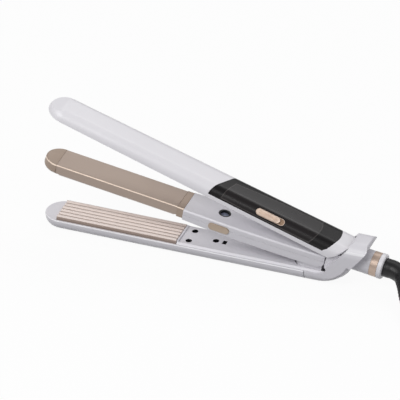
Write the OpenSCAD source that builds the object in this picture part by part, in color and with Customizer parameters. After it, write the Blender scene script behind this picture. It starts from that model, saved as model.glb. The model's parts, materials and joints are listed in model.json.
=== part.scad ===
// Three arm hair iron: a straightening plate pair above a crimping plate pair.
// Millimetres, +Z up, tips at -X, cord end at +X, standing on the lower arm.
// The arms are modelled about the hinge pin in the closed position and turned open.

/* [Overall] */
// Distance from the lower arm's tip to the hinge pin
tip_to_pin = 256; // [254:1:258]
// Distance from the hinge pin to the rear rim of the cord gland
pin_to_rim = 36; // [35.5:0.25:37]
// Height of the lower arm's rim above the table
rim_h = 10; // [9.6:0.1:10.6]
// Height of the hinge pin above the rim
pin_up = 9.5; // [9.2:0.1:9.8]
// Angle between the lower arm and the middle arm as it rests open
mid_open = 8.8; // [6:0.1:9]
// Angle between the middle arm and the upper arm as it rests open
upper_open = 9.9; // [6:0.1:10]
// Gap left between closed plates, and between other faces that meet closed
close_gap = 0.45; // [0.35:0.05:0.6]
// Clearance between pieces that are fitted into one another
fit_gap = 0.15; // [0.1:0.05:0.25]
// Wall of the moulded shells
shell_wall = 1.8; // [1.5:0.1:2.1]

/* [Plates] */
// Distance from the pin to the rear end of the lower crimping plate
plate_rear = 139.5; // [138:0.5:141]
// Length of the lower crimping plate
plate_len = 103; // [98:1:104]
// Width of the lower crimping plate
crimp_w = 26.5; // [25.5:0.25:26.75]
// Number of ridges on the lower crimping plate
ridge_count = 6; // [4:2:8]
// Height of a ridge above and below the plate's middle level
ridge_amp = 0.7; // [0.4:0.1:0.8]
// Height of the crimping plate's middle level above the rim
crimp_up = 2.9; // [2.7:0.1:3.1]
// Wall of the plates
plate_wall = 1.6; // [1.3:0.1:1.9]
// Distance from the ends of a crimping plate to the ends of its heater
heater_end = 11.5; // [11:0.5:20]
// Width of each ceramic heater
heater_w = 12; // [8:0.5:14]
// Thickness of each ceramic heater with its insulation
heater_t = 2.5; // [2:0.1:2.7]

/* [Lower arm] */
// Width of the lower arm
lower_w = 31.4; // [31.2:0.1:31.6]
// Radius of the lower arm's long bottom edges
lower_edge_r = 8.5; // [7:0.25:9]
// Distance from the pin to the seam between the lower shell and the yoke
seam_dist = 29; // [28:0.5:30]
// Height of the rear deck above the rim
deck_up = 1.3; // [1:0.1:1.5]
// Thickness of the decks
deck_t = 2.1; // [1.8:0.1:2.4]
// Distance from the pin to the front pair of deck screws
screw_front = 130.7; // [129:0.5:132]
// Distance from the pin to the single deck screw
screw_rear = 110; // [109:0.5:111]
// Distance of each front screw from the centre line
screw_side = 7.4; // [7:0.2:8]
// Radius of a screw's head
screw_head_r = 2.3; // [2:0.1:2.5]
// Radius of a screw's shank
screw_r = 1.25; // [1:0.05:1.3]

/* [Middle arm] */
// Length from the pin to the middle arm's tip
middle_len = 258.7; // [257:0.1:259]
// Width of the smooth metal plate
smooth_w = 25; // [24.6:0.1:25.4]
// Distance from the pin to the rear end of the smooth plates
smooth_rear = 140.7; // [140:0.5:142]
// Height of the smooth plate's face above the pin
smooth_up = 4.2; // [4:0.1:4.3]
// Thickness of the metal front section
smooth_t = 8.15; // [7.8:0.05:8.4]
// Length of the metal end frame
frame_len = 5.6; // [4.5:0.1:6]
// Width of the moulded body at its widest
body_w = 30; // [29.4:0.2:30]
// Half of the width of the drum under the middle arm's rear end
drum_r = 11; // [10.6:0.1:11.2]
// Radius of the hub at the pin
hub_r = 6.2; // [6:0.1:6.3]
// Width of the hub at the pin
hub_w = 19; // [18:0.5:19]
// Length of the oval mode button
button_len = 18; // [17:0.5:19]
// Height of the oval mode button
button_h = 6.4; // [5.8:0.2:6.8]
// Travel of the mode button
button_travel = 1.8; // [1.6:0.1:2.2]
// Outer radius of the round lock socket
socket_r = 5; // [4.6:0.1:5.4]
// Inner radius of the round lock socket
socket_in_r = 3.8; // [3.6:0.1:4]

/* [Upper arm] */
// Length from the pin to the upper arm's tip
upper_len = 268.5; // [266:0.5:269]
// Width of the upper arm
upper_w = 31; // [30.6:0.1:31.4]
// Height of the upper arm's top above the pin near its rear end
upper_top = 16.9; // [16.4:0.1:17.2]
// Slope of the upper arm's top, falling towards the tip
upper_slope = 1; // [0.9:0.05:1.1]
// Radius of the upper arm's shoulders
shoulder_r = 9; // [8.5:0.1:9.5]
// Wall of the upper shell
upper_wall = 2.4; // [2.2:0.1:2.6]
// Thickness of the gloss panel
panel_t = 1.2; // [1:0.1:1.3]
// Width of the ears that hold the upper arm on the pin
ear_w = 2.8; // [2.4:0.1:2.8]
// Length of the switch frame
switch_len = 25.2; // [24:0.2:26]
// Width of the switch frame
switch_w = 5.6; // [5.2:0.1:6]
// Travel of the power switch
switch_travel = 3.4; // [2.5:0.1:3.6]
// Distance from the pin to the middle of the switch frame
switch_dist = 66.5; // [65:0.5:68]

/* [Yoke and cord gland] */
// Radius of the hinge pin
pin_r = 2; // [1.8:0.1:2.2]
// Running clearance round the hinge pin
pin_play = 0.05; // [0.02:0.01:0.08]
// Wall of the yoke beside the arms
yoke_wall = 2.5; // [2.3:0.1:2.5]
// Downward tilt of the gland towards the rear
gland_tilt = 8.3; // [7.5:0.1:9]
// Radius of the gland barrel
gland_r = 10.1; // [9.8:0.1:10.3]
// Radius of the swivelling end ring
end_ring_r = 10.5; // [10.4:0.1:11]
// Length of the metal trim ring
trim_len = 6.2; // [5.5:0.1:6.5]
// Length of the end ring
end_ring_len = 4.2; // [3.8:0.1:4.6]

/* [Cord] */
// Diameter of the mains cord
cord_d = 6; // [5.6:0.1:6]
// Radius of the strain relief where it leaves the end ring
relief_r = 7.75; // [7.2:0.05:8]
// Radius of the strain relief at its thin end
relief_end_r = 4.6; // [4:0.1:5]
// Length of a straight run of the hank
hank_run = 112; // [108:1:114]
// Loops in each of the hank's two layers
hank_loops = 2; // [1:1:2]
// Radius of the hank's innermost folds
hank_in_r = 18; // [18:0.5:19]
// Distance between neighbouring runs of the hank at its folds
hank_step = 7.6; // [7.6:0.1:8]
// Share by which the hank is drawn in at its waist
hank_waist = 0.14; // [0:0.01:0.14]
// Distance between the pins of the plug
plug_pitch = 18.6; // [17.5:0.1:19]
// Radius of a plug pin
plug_pin_r = 2; // [1.9:0.05:2.1]
// Length of a plug pin
plug_pin_len = 19; // [18:0.5:19]

/* [Hidden] */
$fn = 48;
overall_len = tip_to_pin + pin_to_rim;
// Place of the pin, with the origin under the middle of the object on the table
pin_x = -overall_len / 2 + tip_to_pin;
pin_z = rim_h + pin_up;
// Levels of the lower arm, measured from the pin
rim_z = -pin_up;
floor_z = -pin_z;
deck_z = rim_z + deck_up;
head_z = deck_z - 2.4;
boss_z = head_z - 2.6;
crimp_z = rim_z + crimp_up;
valley_z = crimp_z - ridge_amp;
lower_half = lower_w / 2;
lower_in_half = lower_half - shell_wall;
lower_in_r = lower_edge_r - shell_wall;
lower_in_z = floor_z + shell_wall;
plate_x = -plate_rear - plate_len;
ridge_pitch = crimp_w / ridge_count;
flange_z = valley_z - 5.2;
heater_len = plate_len - 2 * heater_end;
heater_x = plate_x + heater_end;
seam_x = -seam_dist;
deck_end = seam_x + 16.5;
// Levels and places of the middle arm, measured from the pin along the arm
smooth_in = smooth_up - plate_wall;
smooth_low = smooth_up - smooth_t;
smooth_x = -middle_len + smooth_w / 2;
smooth_len = -smooth_x - smooth_rear;
flange_in = smooth_w / 2 - 1.3;
mid_crimp_z = crimp_z + close_gap;
mid_crimp_top = smooth_low + 0.65;
tongue = 2.4;
body_x = -smooth_rear + frame_len;
split_z = -1;
button_x = -103.3;
button_z = -1.25;
socket_x = -104.2;
hook_half = 0.5;
hook_barb = 1.4;
hook_low = deck_z - 3.4;
drum_x = -27.8;
drum_end = -14.5;
drum_low = -15.2;
body_low = -7.2;
// Levels and places of the upper arm, measured from the pin along the arm
upper_half = upper_w / 2;
upper_low = smooth_up + close_gap - 0.05;
upper_plate_z = smooth_up + close_gap - 0.15;
upper_in_low = upper_low + shell_wall;
upper_rear_x = 1.2;
upper_round_r = 11;
ear_in = hub_w / 2 + 0.4;
ear_r = 6.2;
clear_r = hub_r + 1;
panel_low = 7.9;
panel_rise = 0.7;
panel_front = 120.4;
panel_skew = 0.5;
panel_rear_x = -9.3;
panel_rear_line = [[0, 0], [0.2, 3], [0.7, 6], [1.5, 9], [2.7, 11.7], [3.8, 13.3], [5.3, 14.7], [7.5, 15.3], [11, 16]];
board_z = upper_in_low + 0.9;
board_x = -switch_dist - 45.5;
upper_screw_x = [-128, -43];
// Levels of the yoke, measured from the pin
yoke_half = lower_half - 0.1;
yoke_in_half = yoke_half - yoke_wall;
roof_z = 21.5;
roof_r = 11;
yoke_floor = 2;
gland_lift = 4.7;
gland_end = (pin_to_rim - end_ring_r * sin(gland_tilt)) / cos(gland_tilt);
end_ring_at = gland_end - end_ring_len;
trim_at = end_ring_at - fit_gap - trim_len;
spigot_r = gland_r - 1.5;
spindle_r = 6.9;
spindle_bore = 5;
spindle_play = 0.06;
slip_at = trim_at - 13.3;
slip_pitch = 2.6;
slip_r = 5.4;
slip_core_r = 4;
// Route of the strain relief, after the straight start at the end ring
relief_pts = [[153, -0.3, 18], [160.5, -4, 16.5], [166, -12.7, 14], [171, -24, 11], [176, -34, 8.3]];
// Route of the cord from the strain relief to the hank
lead_pts = [
    [176, -34, 8.3], [179, -40, 6.8], [183.5, -45.5, 5.2], [190, -49.6, 4.1],
    [199, -52, 3.8], [209, -52.5, 3.8], [216, -52.5, 3.8], [222, -52.5, 3.8]
];
// Place of the hank: its near run starts here, and its levels
hank_start = [222, -52.5, 3.8];
hank_layer = cord_d + 0.6;
hank_out_r = hank_in_r + hank_loops * hank_step;
hank_y = hank_start[1] + hank_out_r;
hank_x0 = hank_start[0] + cord_d;
// Route of the cord from the hank's end to the plug, over the hank
tail_pts = [
    [234, -50.6, 10.4], [240, -50.6, 10.6], [249, -49.8, 12.4], [259, -47, 15.4], [269, -42.3, 17.8],
    [278, -36.2, 19], [286, -29.8, 19.8], [294, -24, 20.2], [302, -20.6, 20.4], [309, -19.3, 20.4],
    [316, -19.3, 20.4]
];
plug_at = [316, -19.3, 20.4];
plug_relief_len = 12;
plug_len = 34;

// Points of an arc from angle a0 to a1
function arc(cx, cy, r, a0, a1, n) =
    [for (i = [0:n]) let (a = a0 + (a1 - a0) * i / n) [cx + r * cos(a), cy + r * sin(a)]];

// Outline of a box with round lower and upper corners, as (across, up) points
function round_box(half, z0, z1, rb, rt, n = 8) = concat(
    arc(half - rb, z0 + rb, rb, -90, 0, n), arc(half - rt, z1 - rt, rt, 0, 90, n),
    arc(rt - half, z1 - rt, rt, 90, 180, n), arc(rb - half, z0 + rb, rb, 180, 270, n)
);

// Right half of the same outline, closed along the axis
function half_box(half, z0, z1, rb, rt, n = 8) = concat(
    [[0, z0]], arc(half - rb, z0 + rb, rb, -90, 0, n), arc(half - rt, z1 - rt, rt, 0, 90, n), [[0, z1]]
);

// Height of the ridged surface at a place across the plate
function ridge(y) = -ridge_amp * cos(360 * y / ridge_pitch);

function ridge_line(half, z) =
    let (n = round(half / ridge_pitch * 16)) [for (i = [0:n]) let (y = -half + 2 * half * i / n) [y, z + ridge(y)]];

function unit(v) = v / norm(v);

function along(p, i) = unit(p[min(i + 1, len(p) - 1)] - p[max(i - 1, 0)]);

function ring_at(p, i, r, n) =
    let (t = along(p, i), s = unit(cross(t, [0, 0, 1])), u = cross(s, t))
    [for (k = [0:n - 1]) p[i] + r * (cos(360 * k / n) * s + sin(360 * k / n) * u)];

function curve_point(a, b, c, d, t) = 0.5 * (
    2 * b + (c - a) * t + (2 * a - 5 * b + 4 * c - d) * t * t + (3 * b - a - 3 * c + d) * t * t * t
);

// A smooth path through points, with m steps between each pair
function smooth_path(p, m) = concat(
    [for (i = [0:len(p) - 2]) for (j = [0:m - 1]) curve_point(
        p[max(i - 1, 0)], p[i], p[i + 1], p[min(i + 2, len(p) - 1)], j / m
    )],
    [p[len(p) - 1]]
);

function path_length(p) = len(p) < 2 ? 0 : path_sum(p, 1, 0);
function path_sum(p, i, total) = i == len(p) ? total : path_sum(p, i + 1, total + norm(p[i] - p[i - 1]));

// A tube with n sides swept along a path, with a radius for each point
module tube(p, radii, n) {
    m = len(p);
    points = [for (i = [0:m - 1]) each ring_at(p, i, is_list(radii) ? radii[i] : radii, n)];
    sides = [for (i = [0:m - 2]) for (k = [0:n - 1]) let (
        a = i * n + k, b = i * n + (k + 1) % n
    ) each [[a, b, a + n], [b, b + n, a + n]]];
    front = [for (k = [1:n - 2]) [0, k + 1, k]];
    back = [for (k = [1:n - 2]) [(m - 1) * n, (m - 1) * n + k, (m - 1) * n + k + 1]];
    polyhedron(points = points, faces = concat(front, sides, back), convexity = 10);
}

module at_pin() {
    translate([pin_x, 0, pin_z]) children();
}

module at_middle() {
    at_pin() rotate([0, mid_open, 0]) children();
}

module at_upper() {
    at_pin() rotate([0, mid_open + upper_open, 0]) children();
}

// Extrudes an (x, z) outline to both sides of the centre line
module side_plate(points, half) {
    translate([0, half, 0]) rotate([90, 0, 0]) linear_extrude(height = 2 * half) polygon(points);
}

// Extrudes a (y, z) outline from x0 to x1
module section(points, x0, x1) {
    translate([x0, 0, 0]) rotate([90, 0, 90]) linear_extrude(height = x1 - x0) polygon(points);
}

// A bar with a round nose: the section is extruded, and turned at the nose
module nosed_bar(nose_x, x1, half, z0, z1, rb, rt) {
    section(round_box(half, z0, z1, rb, rt), nose_x + half, x1);
    translate([nose_x + half, 0, 0]) rotate([0, 0, 90])
        rotate_extrude(angle = 180) polygon(half_box(half, z0, z1, rb, rt));
}

module block(x0, x1, y0, y1, z0, z1) {
    translate([x0, y0, z0]) cube([x1 - x0, y1 - y0, z1 - z0]);
}

// A cylinder across the arm, centred on the centre line
module across(r, half, x = 0, z = 0) {
    translate([x, half, z]) rotate([90, 0, 0]) cylinder(r = r, h = 2 * half);
}

module post(x, y, z0, z1, r) {
    translate([x, y, z0]) cylinder(r = r, h = z1 - z0);
}

// A flat shape with round ends, centred, lying along x
module slot_2d(len, w) {
    square([len - w, w], center = true);
    for (s = [-1, 1]) translate([s * (len - w) / 2, 0]) circle(d = w);
}

// A round wire along a smooth path through points
module wire(points, r) {
    tube(smooth_path(points, 3), r, 6);
}

// A pan head screw, head up at z
module screw(x, y, z, len) {
    difference() {
        union() {
            post(x, y, z - 1.4, z, screw_head_r);
            post(x, y, z - 1.4 - len, z - 1.3, screw_r);
        }
        block(x - 1.6, x + 1.6, y - 0.3, y + 0.3, z - 0.6, z + 1);
        block(x - 0.3, x + 0.3, y - 1.6, y + 1.6, z - 0.6, z + 1);
    }
}

// A bowed leaf that presses a heater: feet low at the ends, crown high in the middle
module leaf_spring(x0, x1, low, high, half) {
    t = 0.35;
    n = 16;
    h = high - low - t;
    bow = [for (i = [0:n]) let (s = i / n) [x0 + (x1 - x0) * s, low + h * sin(180 * s)]];
    side_plate(concat(bow, [for (i = [n:-1:0]) bow[i] + [0, t]]), half);
}

// A compression spring: a helix of round wire with n turns
module coil_spring(x, z0, z1, r, wire_r, turns) {
    steps = turns * 8;
    h = z1 - z0 - 2 * wire_r;
    path = [for (i = [0:steps]) [
        x + r * cos(45 * i), r * sin(45 * i), z0 + wire_r + h * i / steps
    ]];
    tube(path, wire_r, 6);
}

module lower_shell() {
    color([0.93, 0.93, 0.95]) at_pin() difference() {
        union() {
            difference() {
                nosed_bar(-tip_to_pin, seam_x - fit_gap, lower_half, floor_z, rim_z, lower_edge_r, 0.8);
                // hollow under the tip's web
                intersection() {
                    nosed_bar(
                        -tip_to_pin + shell_wall, plate_x + 6, lower_in_half, lower_in_z,
                        rim_z + 5, lower_in_r, 0.5
                    );
                    block(-tip_to_pin, 0, -20, 20, floor_z, rim_z - deck_t);
                }
                // open trough for the plate and the deck
                section(
                    round_box(lower_in_half, lower_in_z, rim_z + 5, lower_in_r, 0.5), plate_x - 0.3, 0
                );
            }
            for (s = [-1, 1]) post(-screw_front, s * screw_side, lower_in_z - 0.5, boss_z - 0.1, 3);
            post(-screw_rear, 0, lower_in_z - 0.5, boss_z - 0.1, 3);
        }
        for (s = [-1, 1]) post(-screw_front, s * screw_side, lower_in_z + 0.6, deck_z, screw_r + 0.05);
        post(-screw_rear, 0, lower_in_z + 0.6, deck_z, screw_r + 0.05);
    }
}

// Plan of the drum, grown by d, as far back as x = end
module drum_plan(d, end) {
    translate([drum_x, 0]) circle(r = drum_r + d);
    translate([drum_x, -drum_r - d]) square([end - drum_x, 2 * (drum_r + d)]);
}

module rear_deck() {
    half = lower_in_half - fit_gap;
    top = half - 1.5;
    low = deck_z - deck_t;
    front = -plate_rear + 0.4;
    color([0.92, 0.92, 0.94]) at_pin() difference() {
        union() {
            section(
                [[-half, low], [half, low], [half, rim_z - 0.1], [top, deck_z], [-top, deck_z], [-half, rim_z - 0.1]],
                front, deck_end
            );
            // raised lip that the plate's ridges end against
            block(front, front + 1.5, -top, top, deck_z - 0.1, valley_z + 0.4);
            for (s = [-1, 1]) post(-screw_front, s * screw_side, boss_z, low + 0.1, 3.4);
            post(-screw_rear, 0, boss_z, low + 0.1, 3.4);
        }
        for (s = [-1, 1]) {
            post(-screw_front, s * screw_side, boss_z - 1, deck_z + 1, screw_r + 0.15);
            post(-screw_front, s * screw_side, head_z - 1.4, deck_z + 1, screw_head_r + 0.3);
        }
        post(-screw_rear, 0, boss_z - 1, deck_z + 1, screw_r + 0.15);
        post(-screw_rear, 0, head_z - 1.4, deck_z + 1, screw_head_r + 0.3);
        // latch slot for the mode button's hook
        block(
            button_x - hook_half - 0.4, button_x + hook_half + button_travel + 0.2,
            -2.5, 2.5, deck_z - 5, deck_z + 1
        );
        // opening that the drum under the middle arm dips into
        translate([0, 0, deck_z - 5]) linear_extrude(height = 8) translate([-2.4, 0])
            drum_plan(0.5, 20);
    }
}

// Cup under the latch slot, where the hook's barb catches under the deck
module latch_cup() {
    low = deck_z - deck_t - 2.8;
    right = button_x + hook_half + button_travel + hook_barb + 0.6;
    color([0.08, 0.08, 0.09]) at_pin() difference() {
        block(button_x - 1.8, right + 0.6, -3.6, 3.6, low - 0.6, deck_z - deck_t - 0.05);
        block(button_x - 1.2, right, -3, 3, low, deck_z);
    }
}

module lower_crimp_plate() {
    half = crimp_w / 2;
    low = valley_z - 2;
    color([0.87, 0.81, 0.77]) at_pin() section(
        concat(
            [[half, flange_z], [half - 1.3, flange_z], [half - 1.3, low], [1.3 - half, low],
             [1.3 - half, flange_z], [-half, flange_z]],
            ridge_line(half, crimp_z)
        ),
        plate_x, -plate_rear
    );
}

module lower_plate_mount() {
    top = flange_z - 0.05;
    out = crimp_w / 2 - 0.45;
    low = lower_in_z + 0.1;
    color([0.25, 0.25, 0.27]) at_pin() for (x = [plate_x + 2, -plate_rear - 10]) section(
        [[-out, top], [-out, top - 1.5], [-8, low], [8, low], [out, top - 1.5], [out, top]], x, x + 8
    );
}

module lower_heater() {
    top = valley_z - 2.05;
    color([0.85, 0.6, 0.4]) at_pin()
        block(heater_x, heater_x + heater_len, -heater_w / 2, heater_w / 2, top - heater_t, top);
}

module lower_heater_spring() {
    color([0.7, 0.7, 0.72]) at_pin() leaf_spring(
        heater_x + 6, heater_x + heater_len - 6, lower_in_z + 0.05, valley_z - 2.1 - heater_t, 4
    );
}

module lower_leads() {
    z = valley_z - 2.05 - heater_t / 2;
    end = heater_x + heater_len;
    color([0.75, 0.1, 0.1]) at_pin() for (s = [-1, 1]) wire(
        [[end + 0.1, s * 3, z], [end + 7, s * 3, z], [end + 15, s * 12, z - 1],
         [seam_x - 22, s * 12, z - 1], [seam_x - 10, s * 6, z - 3]], 0.6
    );
}

module deck_screws() {
    color([0.3, 0.3, 0.32]) at_pin() {
        for (s = [-1, 1]) screw(-screw_front, s * screw_side, head_z, 4.4);
        screw(-screw_rear, 0, head_z, 4.4);
    }
}

// Outer and inner side outlines of the yoke, from the seam round the heel and the hood
heel_x = -20.5;
heel_r = 34;
heel_turn = 66;
yoke_side = concat(
    [[seam_x, floor_z]],
    arc(heel_x, floor_z + heel_r, heel_r, -90, heel_turn - 90, 10),
    [[11, 1.6], [17.7, 10.1]],
    arc(20.2, roof_z - 3, 3, -38, 90, 8),
    [[11, roof_z], [8.5, roof_z - 1.2], [6.8, 17], [1.8, 11.3], [-4.4, 4.4], [-10.7, -2.4]],
    arc(-21, rim_z + 17, 17, -52, -90, 5),
    [[seam_x, rim_z]]
);
yoke_cavity = concat(
    [[seam_x - 1, floor_z + yoke_floor]],
    arc(heel_x, floor_z + heel_r, heel_r - yoke_floor, -90, heel_turn - 90, 10),
    [[9, 2.2], [15, 11], [20, roof_z - yoke_floor - 1.5], [18.5, roof_z - yoke_floor],
     [-20, roof_z - yoke_floor], [seam_x - 1, 0]]
);

// Rounds the heel's two long edges, as the lower shell's are: the waste outside an edge inset by d
module heel_corners(d) {
    edge = lower_edge_r;
    for (s = [-1, 1]) translate([heel_x, 0, floor_z + heel_r]) rotate([0, 0, s * 5]) rotate([90, 0, 0])
        rotate([0, 0, -90.5]) rotate_extrude(angle = heel_turn + 1) polygon(concat(
            [for (p = arc(heel_r - edge, yoke_half - edge, edge - d, 0, 90, 8)) [p[0], -s * p[1]]],
            [[heel_r - edge, -s * (yoke_half + 4)], [heel_r + 4, -s * (yoke_half + 4)],
             [heel_r + 4, -s * (yoke_half - edge)]]
        ));
}

module gland_axis(t0, t1, r) {
    translate([0, 0, gland_lift]) rotate([0, 90 + gland_tilt, 0]) translate([0, 0, t0])
        cylinder(r = r, h = t1 - t0);
}

module yoke() {
    tongue_half = 7;
    color([0.93, 0.93, 0.95]) at_pin() difference() {
        union() {
            difference() {
                intersection() {
                    side_plate(yoke_side, yoke_half);
                    section(round_box(yoke_half, floor_z, roof_z, lower_edge_r, roof_r), seam_x, 40);
                }
                heel_corners(0);
            }
            gland_axis(6, trim_at, gland_r);
            gland_axis(trim_at - 0.1, end_ring_at - fit_gap, spigot_r);
        }
        // space for the arms, open to the front
        difference() {
            intersection() {
                side_plate(yoke_cavity, yoke_in_half);
                section(
                    round_box(
                        yoke_in_half, floor_z + yoke_floor, roof_z - yoke_floor,
                        lower_edge_r - 1.5, roof_r - 2
                    ), seam_x - 1, 40
                );
            }
            heel_corners(1.9);
        }
        // wider mouth at the front, and room for the ears round the pin
        section(
            round_box(lower_in_half, floor_z + yoke_floor, roof_z, lower_edge_r - 1.9, 2),
            seam_x - 1, -12
        );
        ear_rings(0.35);
        across(hub_r + 0.35, hub_w / 2 + 0.4);
        // seat for the swivel: a wide chamber and a narrow neck
        gland_axis(4, trim_at - 5, spindle_r + 1.4);
        gland_axis(trim_at - 6, gland_end, spindle_r + spindle_play);
        // blind seats for the hinge pin
        across(pin_r, yoke_half - 1.2);
    }
    // tongue that joins the yoke to the lower shell
    color([0.93, 0.93, 0.95]) at_pin()
        block(seam_x - 8, seam_x + 1.5, -tongue_half, tongue_half, lower_in_z + 0.05, lower_in_z + 1.6);
}

module hinge_pin() {
    color([0.7, 0.7, 0.73]) at_pin() across(pin_r, yoke_half - 1.3);
}

module trim_ring() {
    color([0.83, 0.68, 0.55]) at_pin() difference() {
        gland_axis(trim_at + 0.05, end_ring_at - fit_gap, gland_r + 0.1);
        gland_axis(trim_at - 1, end_ring_at + 1, spigot_r + 0.05);
    }
}

module lower_opening_spring() {
    color([0.6, 0.6, 0.62]) at_pin()
        coil_spring(-23, floor_z + yoke_floor + 0.05, -6.7, 3.5, 0.5, 5);
}

module middle_smooth_plate() {
    half = smooth_w / 2;
    color([0.66, 0.59, 0.53]) at_middle() difference() {
        section(round_box(half, smooth_low, smooth_up, 0.4, 1.2, 4), smooth_x, -smooth_rear);
        block(smooth_x - 1, -smooth_rear + 1, -flange_in, flange_in, smooth_low - 1, smooth_in);
    }
}

module middle_crimp_plate() {
    half = flange_in - 0.2;
    line = ridge_line(half, mid_crimp_z);
    color([0.87, 0.81, 0.77]) at_middle() section(
        concat([[half, mid_crimp_top], [-half, mid_crimp_top]], line),
        smooth_x + tongue + 0.3, -smooth_rear - tongue - 0.3
    );
}

module middle_heater() {
    top = smooth_in - 0.05;
    color([0.85, 0.6, 0.4]) at_middle()
        block(heater_x, heater_x + heater_len, -heater_w / 2, heater_w / 2, top - heater_t, top);
}

module middle_heater_spring() {
    color([0.7, 0.7, 0.72]) at_middle() leaf_spring(
        heater_x + 6, heater_x + heater_len - 6, mid_crimp_top + 0.05, smooth_in - heater_t - 0.1, 4
    );
}

module middle_tip_cap() {
    r = smooth_w / 2 + 0.1;
    half = flange_in - 0.2;
    low = smooth_low - 0.95;
    top = smooth_up + 0.05;
    color([0.69, 0.6, 0.52]) at_middle() {
        translate([smooth_x, 0, 0]) rotate([0, 0, 90]) rotate_extrude(angle = 180) polygon(concat(
            [[0, low], [r - 3, low]], arc(r - 3.2, low + 3.9, 3.9, -70, 0, 6),
            [[r + 0.6, -0.5], [r, top - 1.6]], arc(r - 1.1, top - 1.1, 1.1, 10, 90, 5), [[0, top]]
        ));
        block(smooth_x - 0.5, smooth_x + tongue, -half, half, mid_crimp_top + 0.1, smooth_in - 0.1);
    }
}

module middle_end_frame() {
    half = smooth_w / 2 + 0.6;
    in_half = flange_in - 0.2;
    color([0.69, 0.6, 0.52]) at_middle() difference() {
        union() {
            section(
                round_box(half, smooth_low - 1.2, smooth_up + 0.15, 1, 1.4, 4), -smooth_rear, body_x
            );
            block(
                -smooth_rear - tongue, -smooth_rear + 1, -in_half, in_half,
                mid_crimp_top + 0.1, smooth_in - 0.1
            );
        }
        block(-smooth_rear - tongue - 1, body_x + 1, -7.5, 7.5, -2, 1.8);
    }
}

// Plan of the moulded body, inset by d
function body_plan(d) =
    let (
        h = body_w / 2 - d,
        near = [[body_x, h - 1], [-85, h], [-60, h - 0.6], [-42, h - 1], [-25, h - 1.6], [-13, h - 2.4]]
    )
    concat(
        [for (p = near) [p[0], -p[1]]],
        arc(-13 - 2.5, -(h - 4.9), 2.5, -90, 0, 4), arc(-13 - 2.5, h - 4.9, 2.5, 0, 90, 4),
        [for (i = [len(near) - 1:-1:0]) near[i]]
    );

// Slot in the near wall for the neck of the mode button
module button_slot() {
    block(
        button_x - 5.3, button_x + 5.3 + button_travel, -body_w, 5 - body_w / 2,
        button_z - 1.5, button_z + 1.5
    );
}

module middle_top_shell() {
    in = shell_wall;
    color([0.93, 0.93, 0.95]) at_middle() difference() {
        hull() {
            translate([0, 0, split_z + 0.05]) linear_extrude(height = smooth_up - 1.3 - split_z)
                polygon(body_plan(0));
            translate([0, 0, smooth_up - 1]) linear_extrude(height = 1) polygon(body_plan(1));
        }
        translate([0, 0, split_z - 1]) linear_extrude(height = smooth_up - in - split_z + 1)
            polygon([for (p = body_plan(in)) [min(p[0], -17), p[1]]]);
        // wires from the metal section
        block(body_x - 1, body_x + 5, -7.5, 7.5, -3, 1.8);
        post(socket_x, 0, -2, smooth_up + 1, socket_r + 0.05);
        // opening for the spring under the upper arm
        post(-30, 0, -2, smooth_up + 1, 4.8);
        button_slot();
        across(clear_r + 0.6, 20);
    }
}

// Side outline of the lower half of the moulded body
base_side = [
    [body_x, split_z - 0.05], [body_x, -5.3], [-116, -6.2], [-53, body_low], [-18, body_low],
    [-14.5, -5.8], [-13, -3], [-13, split_z - 0.05]
];
base_cavity = [
    [body_x - 1, 2], [body_x - 1, -3.5], [-116, -4.4], [-53, -5.4], [-22, -5.4], [-22, 2]
];

module middle_base() {
    color([0.92, 0.92, 0.94]) at_middle() difference() {
        union() {
            difference() {
                intersection() {
                    side_plate(base_side, body_w);
                    translate([0, 0, -20]) linear_extrude(height = 30) polygon(body_plan(0));
                }
                intersection() {
                    side_plate(base_cavity, body_w);
                    translate([0, 0, -20]) linear_extrude(height = 30) polygon(body_plan(shell_wall));
                }
            }
            // drum that dips into the lower arm, open below
            difference() {
                translate([0, 0, drum_low]) linear_extrude(height = body_low + 1 - drum_low)
                    drum_plan(0, drum_end);
                translate([0, 0, drum_low - 1]) linear_extrude(height = body_low + 1 - drum_low)
                    drum_plan(-1.6, drum_end - 1.6);
            }
            // arm and barrel of the hub
            block(-20, -4, -hub_w / 2, hub_w / 2, -6.2, split_z - 0.05);
            across(hub_r, hub_w / 2);
            post(-124, 0, -5.5, split_z, 2.6);
            for (s = [-1, 1]) post(-55, s * 8, -6.5, split_z, 2.6);
        }
        for (p = [[-124, 0], [-55, -8], [-55, 8]]) {
            post(p[0], p[1], -10, 2, screw_r + 0.1);
            post(p[0], p[1], -10, -4.2, screw_head_r + 0.2);
        }
        across(3.05, 20);
        button_slot();
        // slot for the hook of the mode button
        block(
            button_x - hook_half - 0.4, button_x + hook_half + button_travel + 0.6, -1.5, 1.5, -9, -3
        );
        difference() {
            across(clear_r + 0.6, 20);
            across(30, hub_w / 2);
        }
    }
}

module middle_bush() {
    color([0.8, 0.65, 0.3]) at_middle() difference() {
        across(3, hub_w / 2);
        across(pin_r + pin_play, hub_w);
    }
}

module middle_screws() {
    color([0.3, 0.3, 0.32]) at_middle() for (p = [[-124, 0], [-55, -8], [-55, 8]])
        translate([p[0], p[1], 0]) rotate([180, 0, 0]) screw(0, 0, 5.75, 5.2);
}

module middle_leads() {
    z = smooth_in - heater_t / 2;
    end = heater_x + heater_len;
    color([0.75, 0.1, 0.1]) at_middle() for (s = [-1, 1]) wire(
        [[end + 0.15, s * 3, z], [end + 7, s * 4, 0.5], [body_x + 6, s * 5, -0.5],
         [-119, s * 5, -2], [-109, 6 + s * 2.5, -2], [-75, 9 + s * 1.5, -2], [-63, 2 + s * 1.5, -2],
         [-40, 1 + s * 2.5, -2]], 0.6
    );
}

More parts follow.
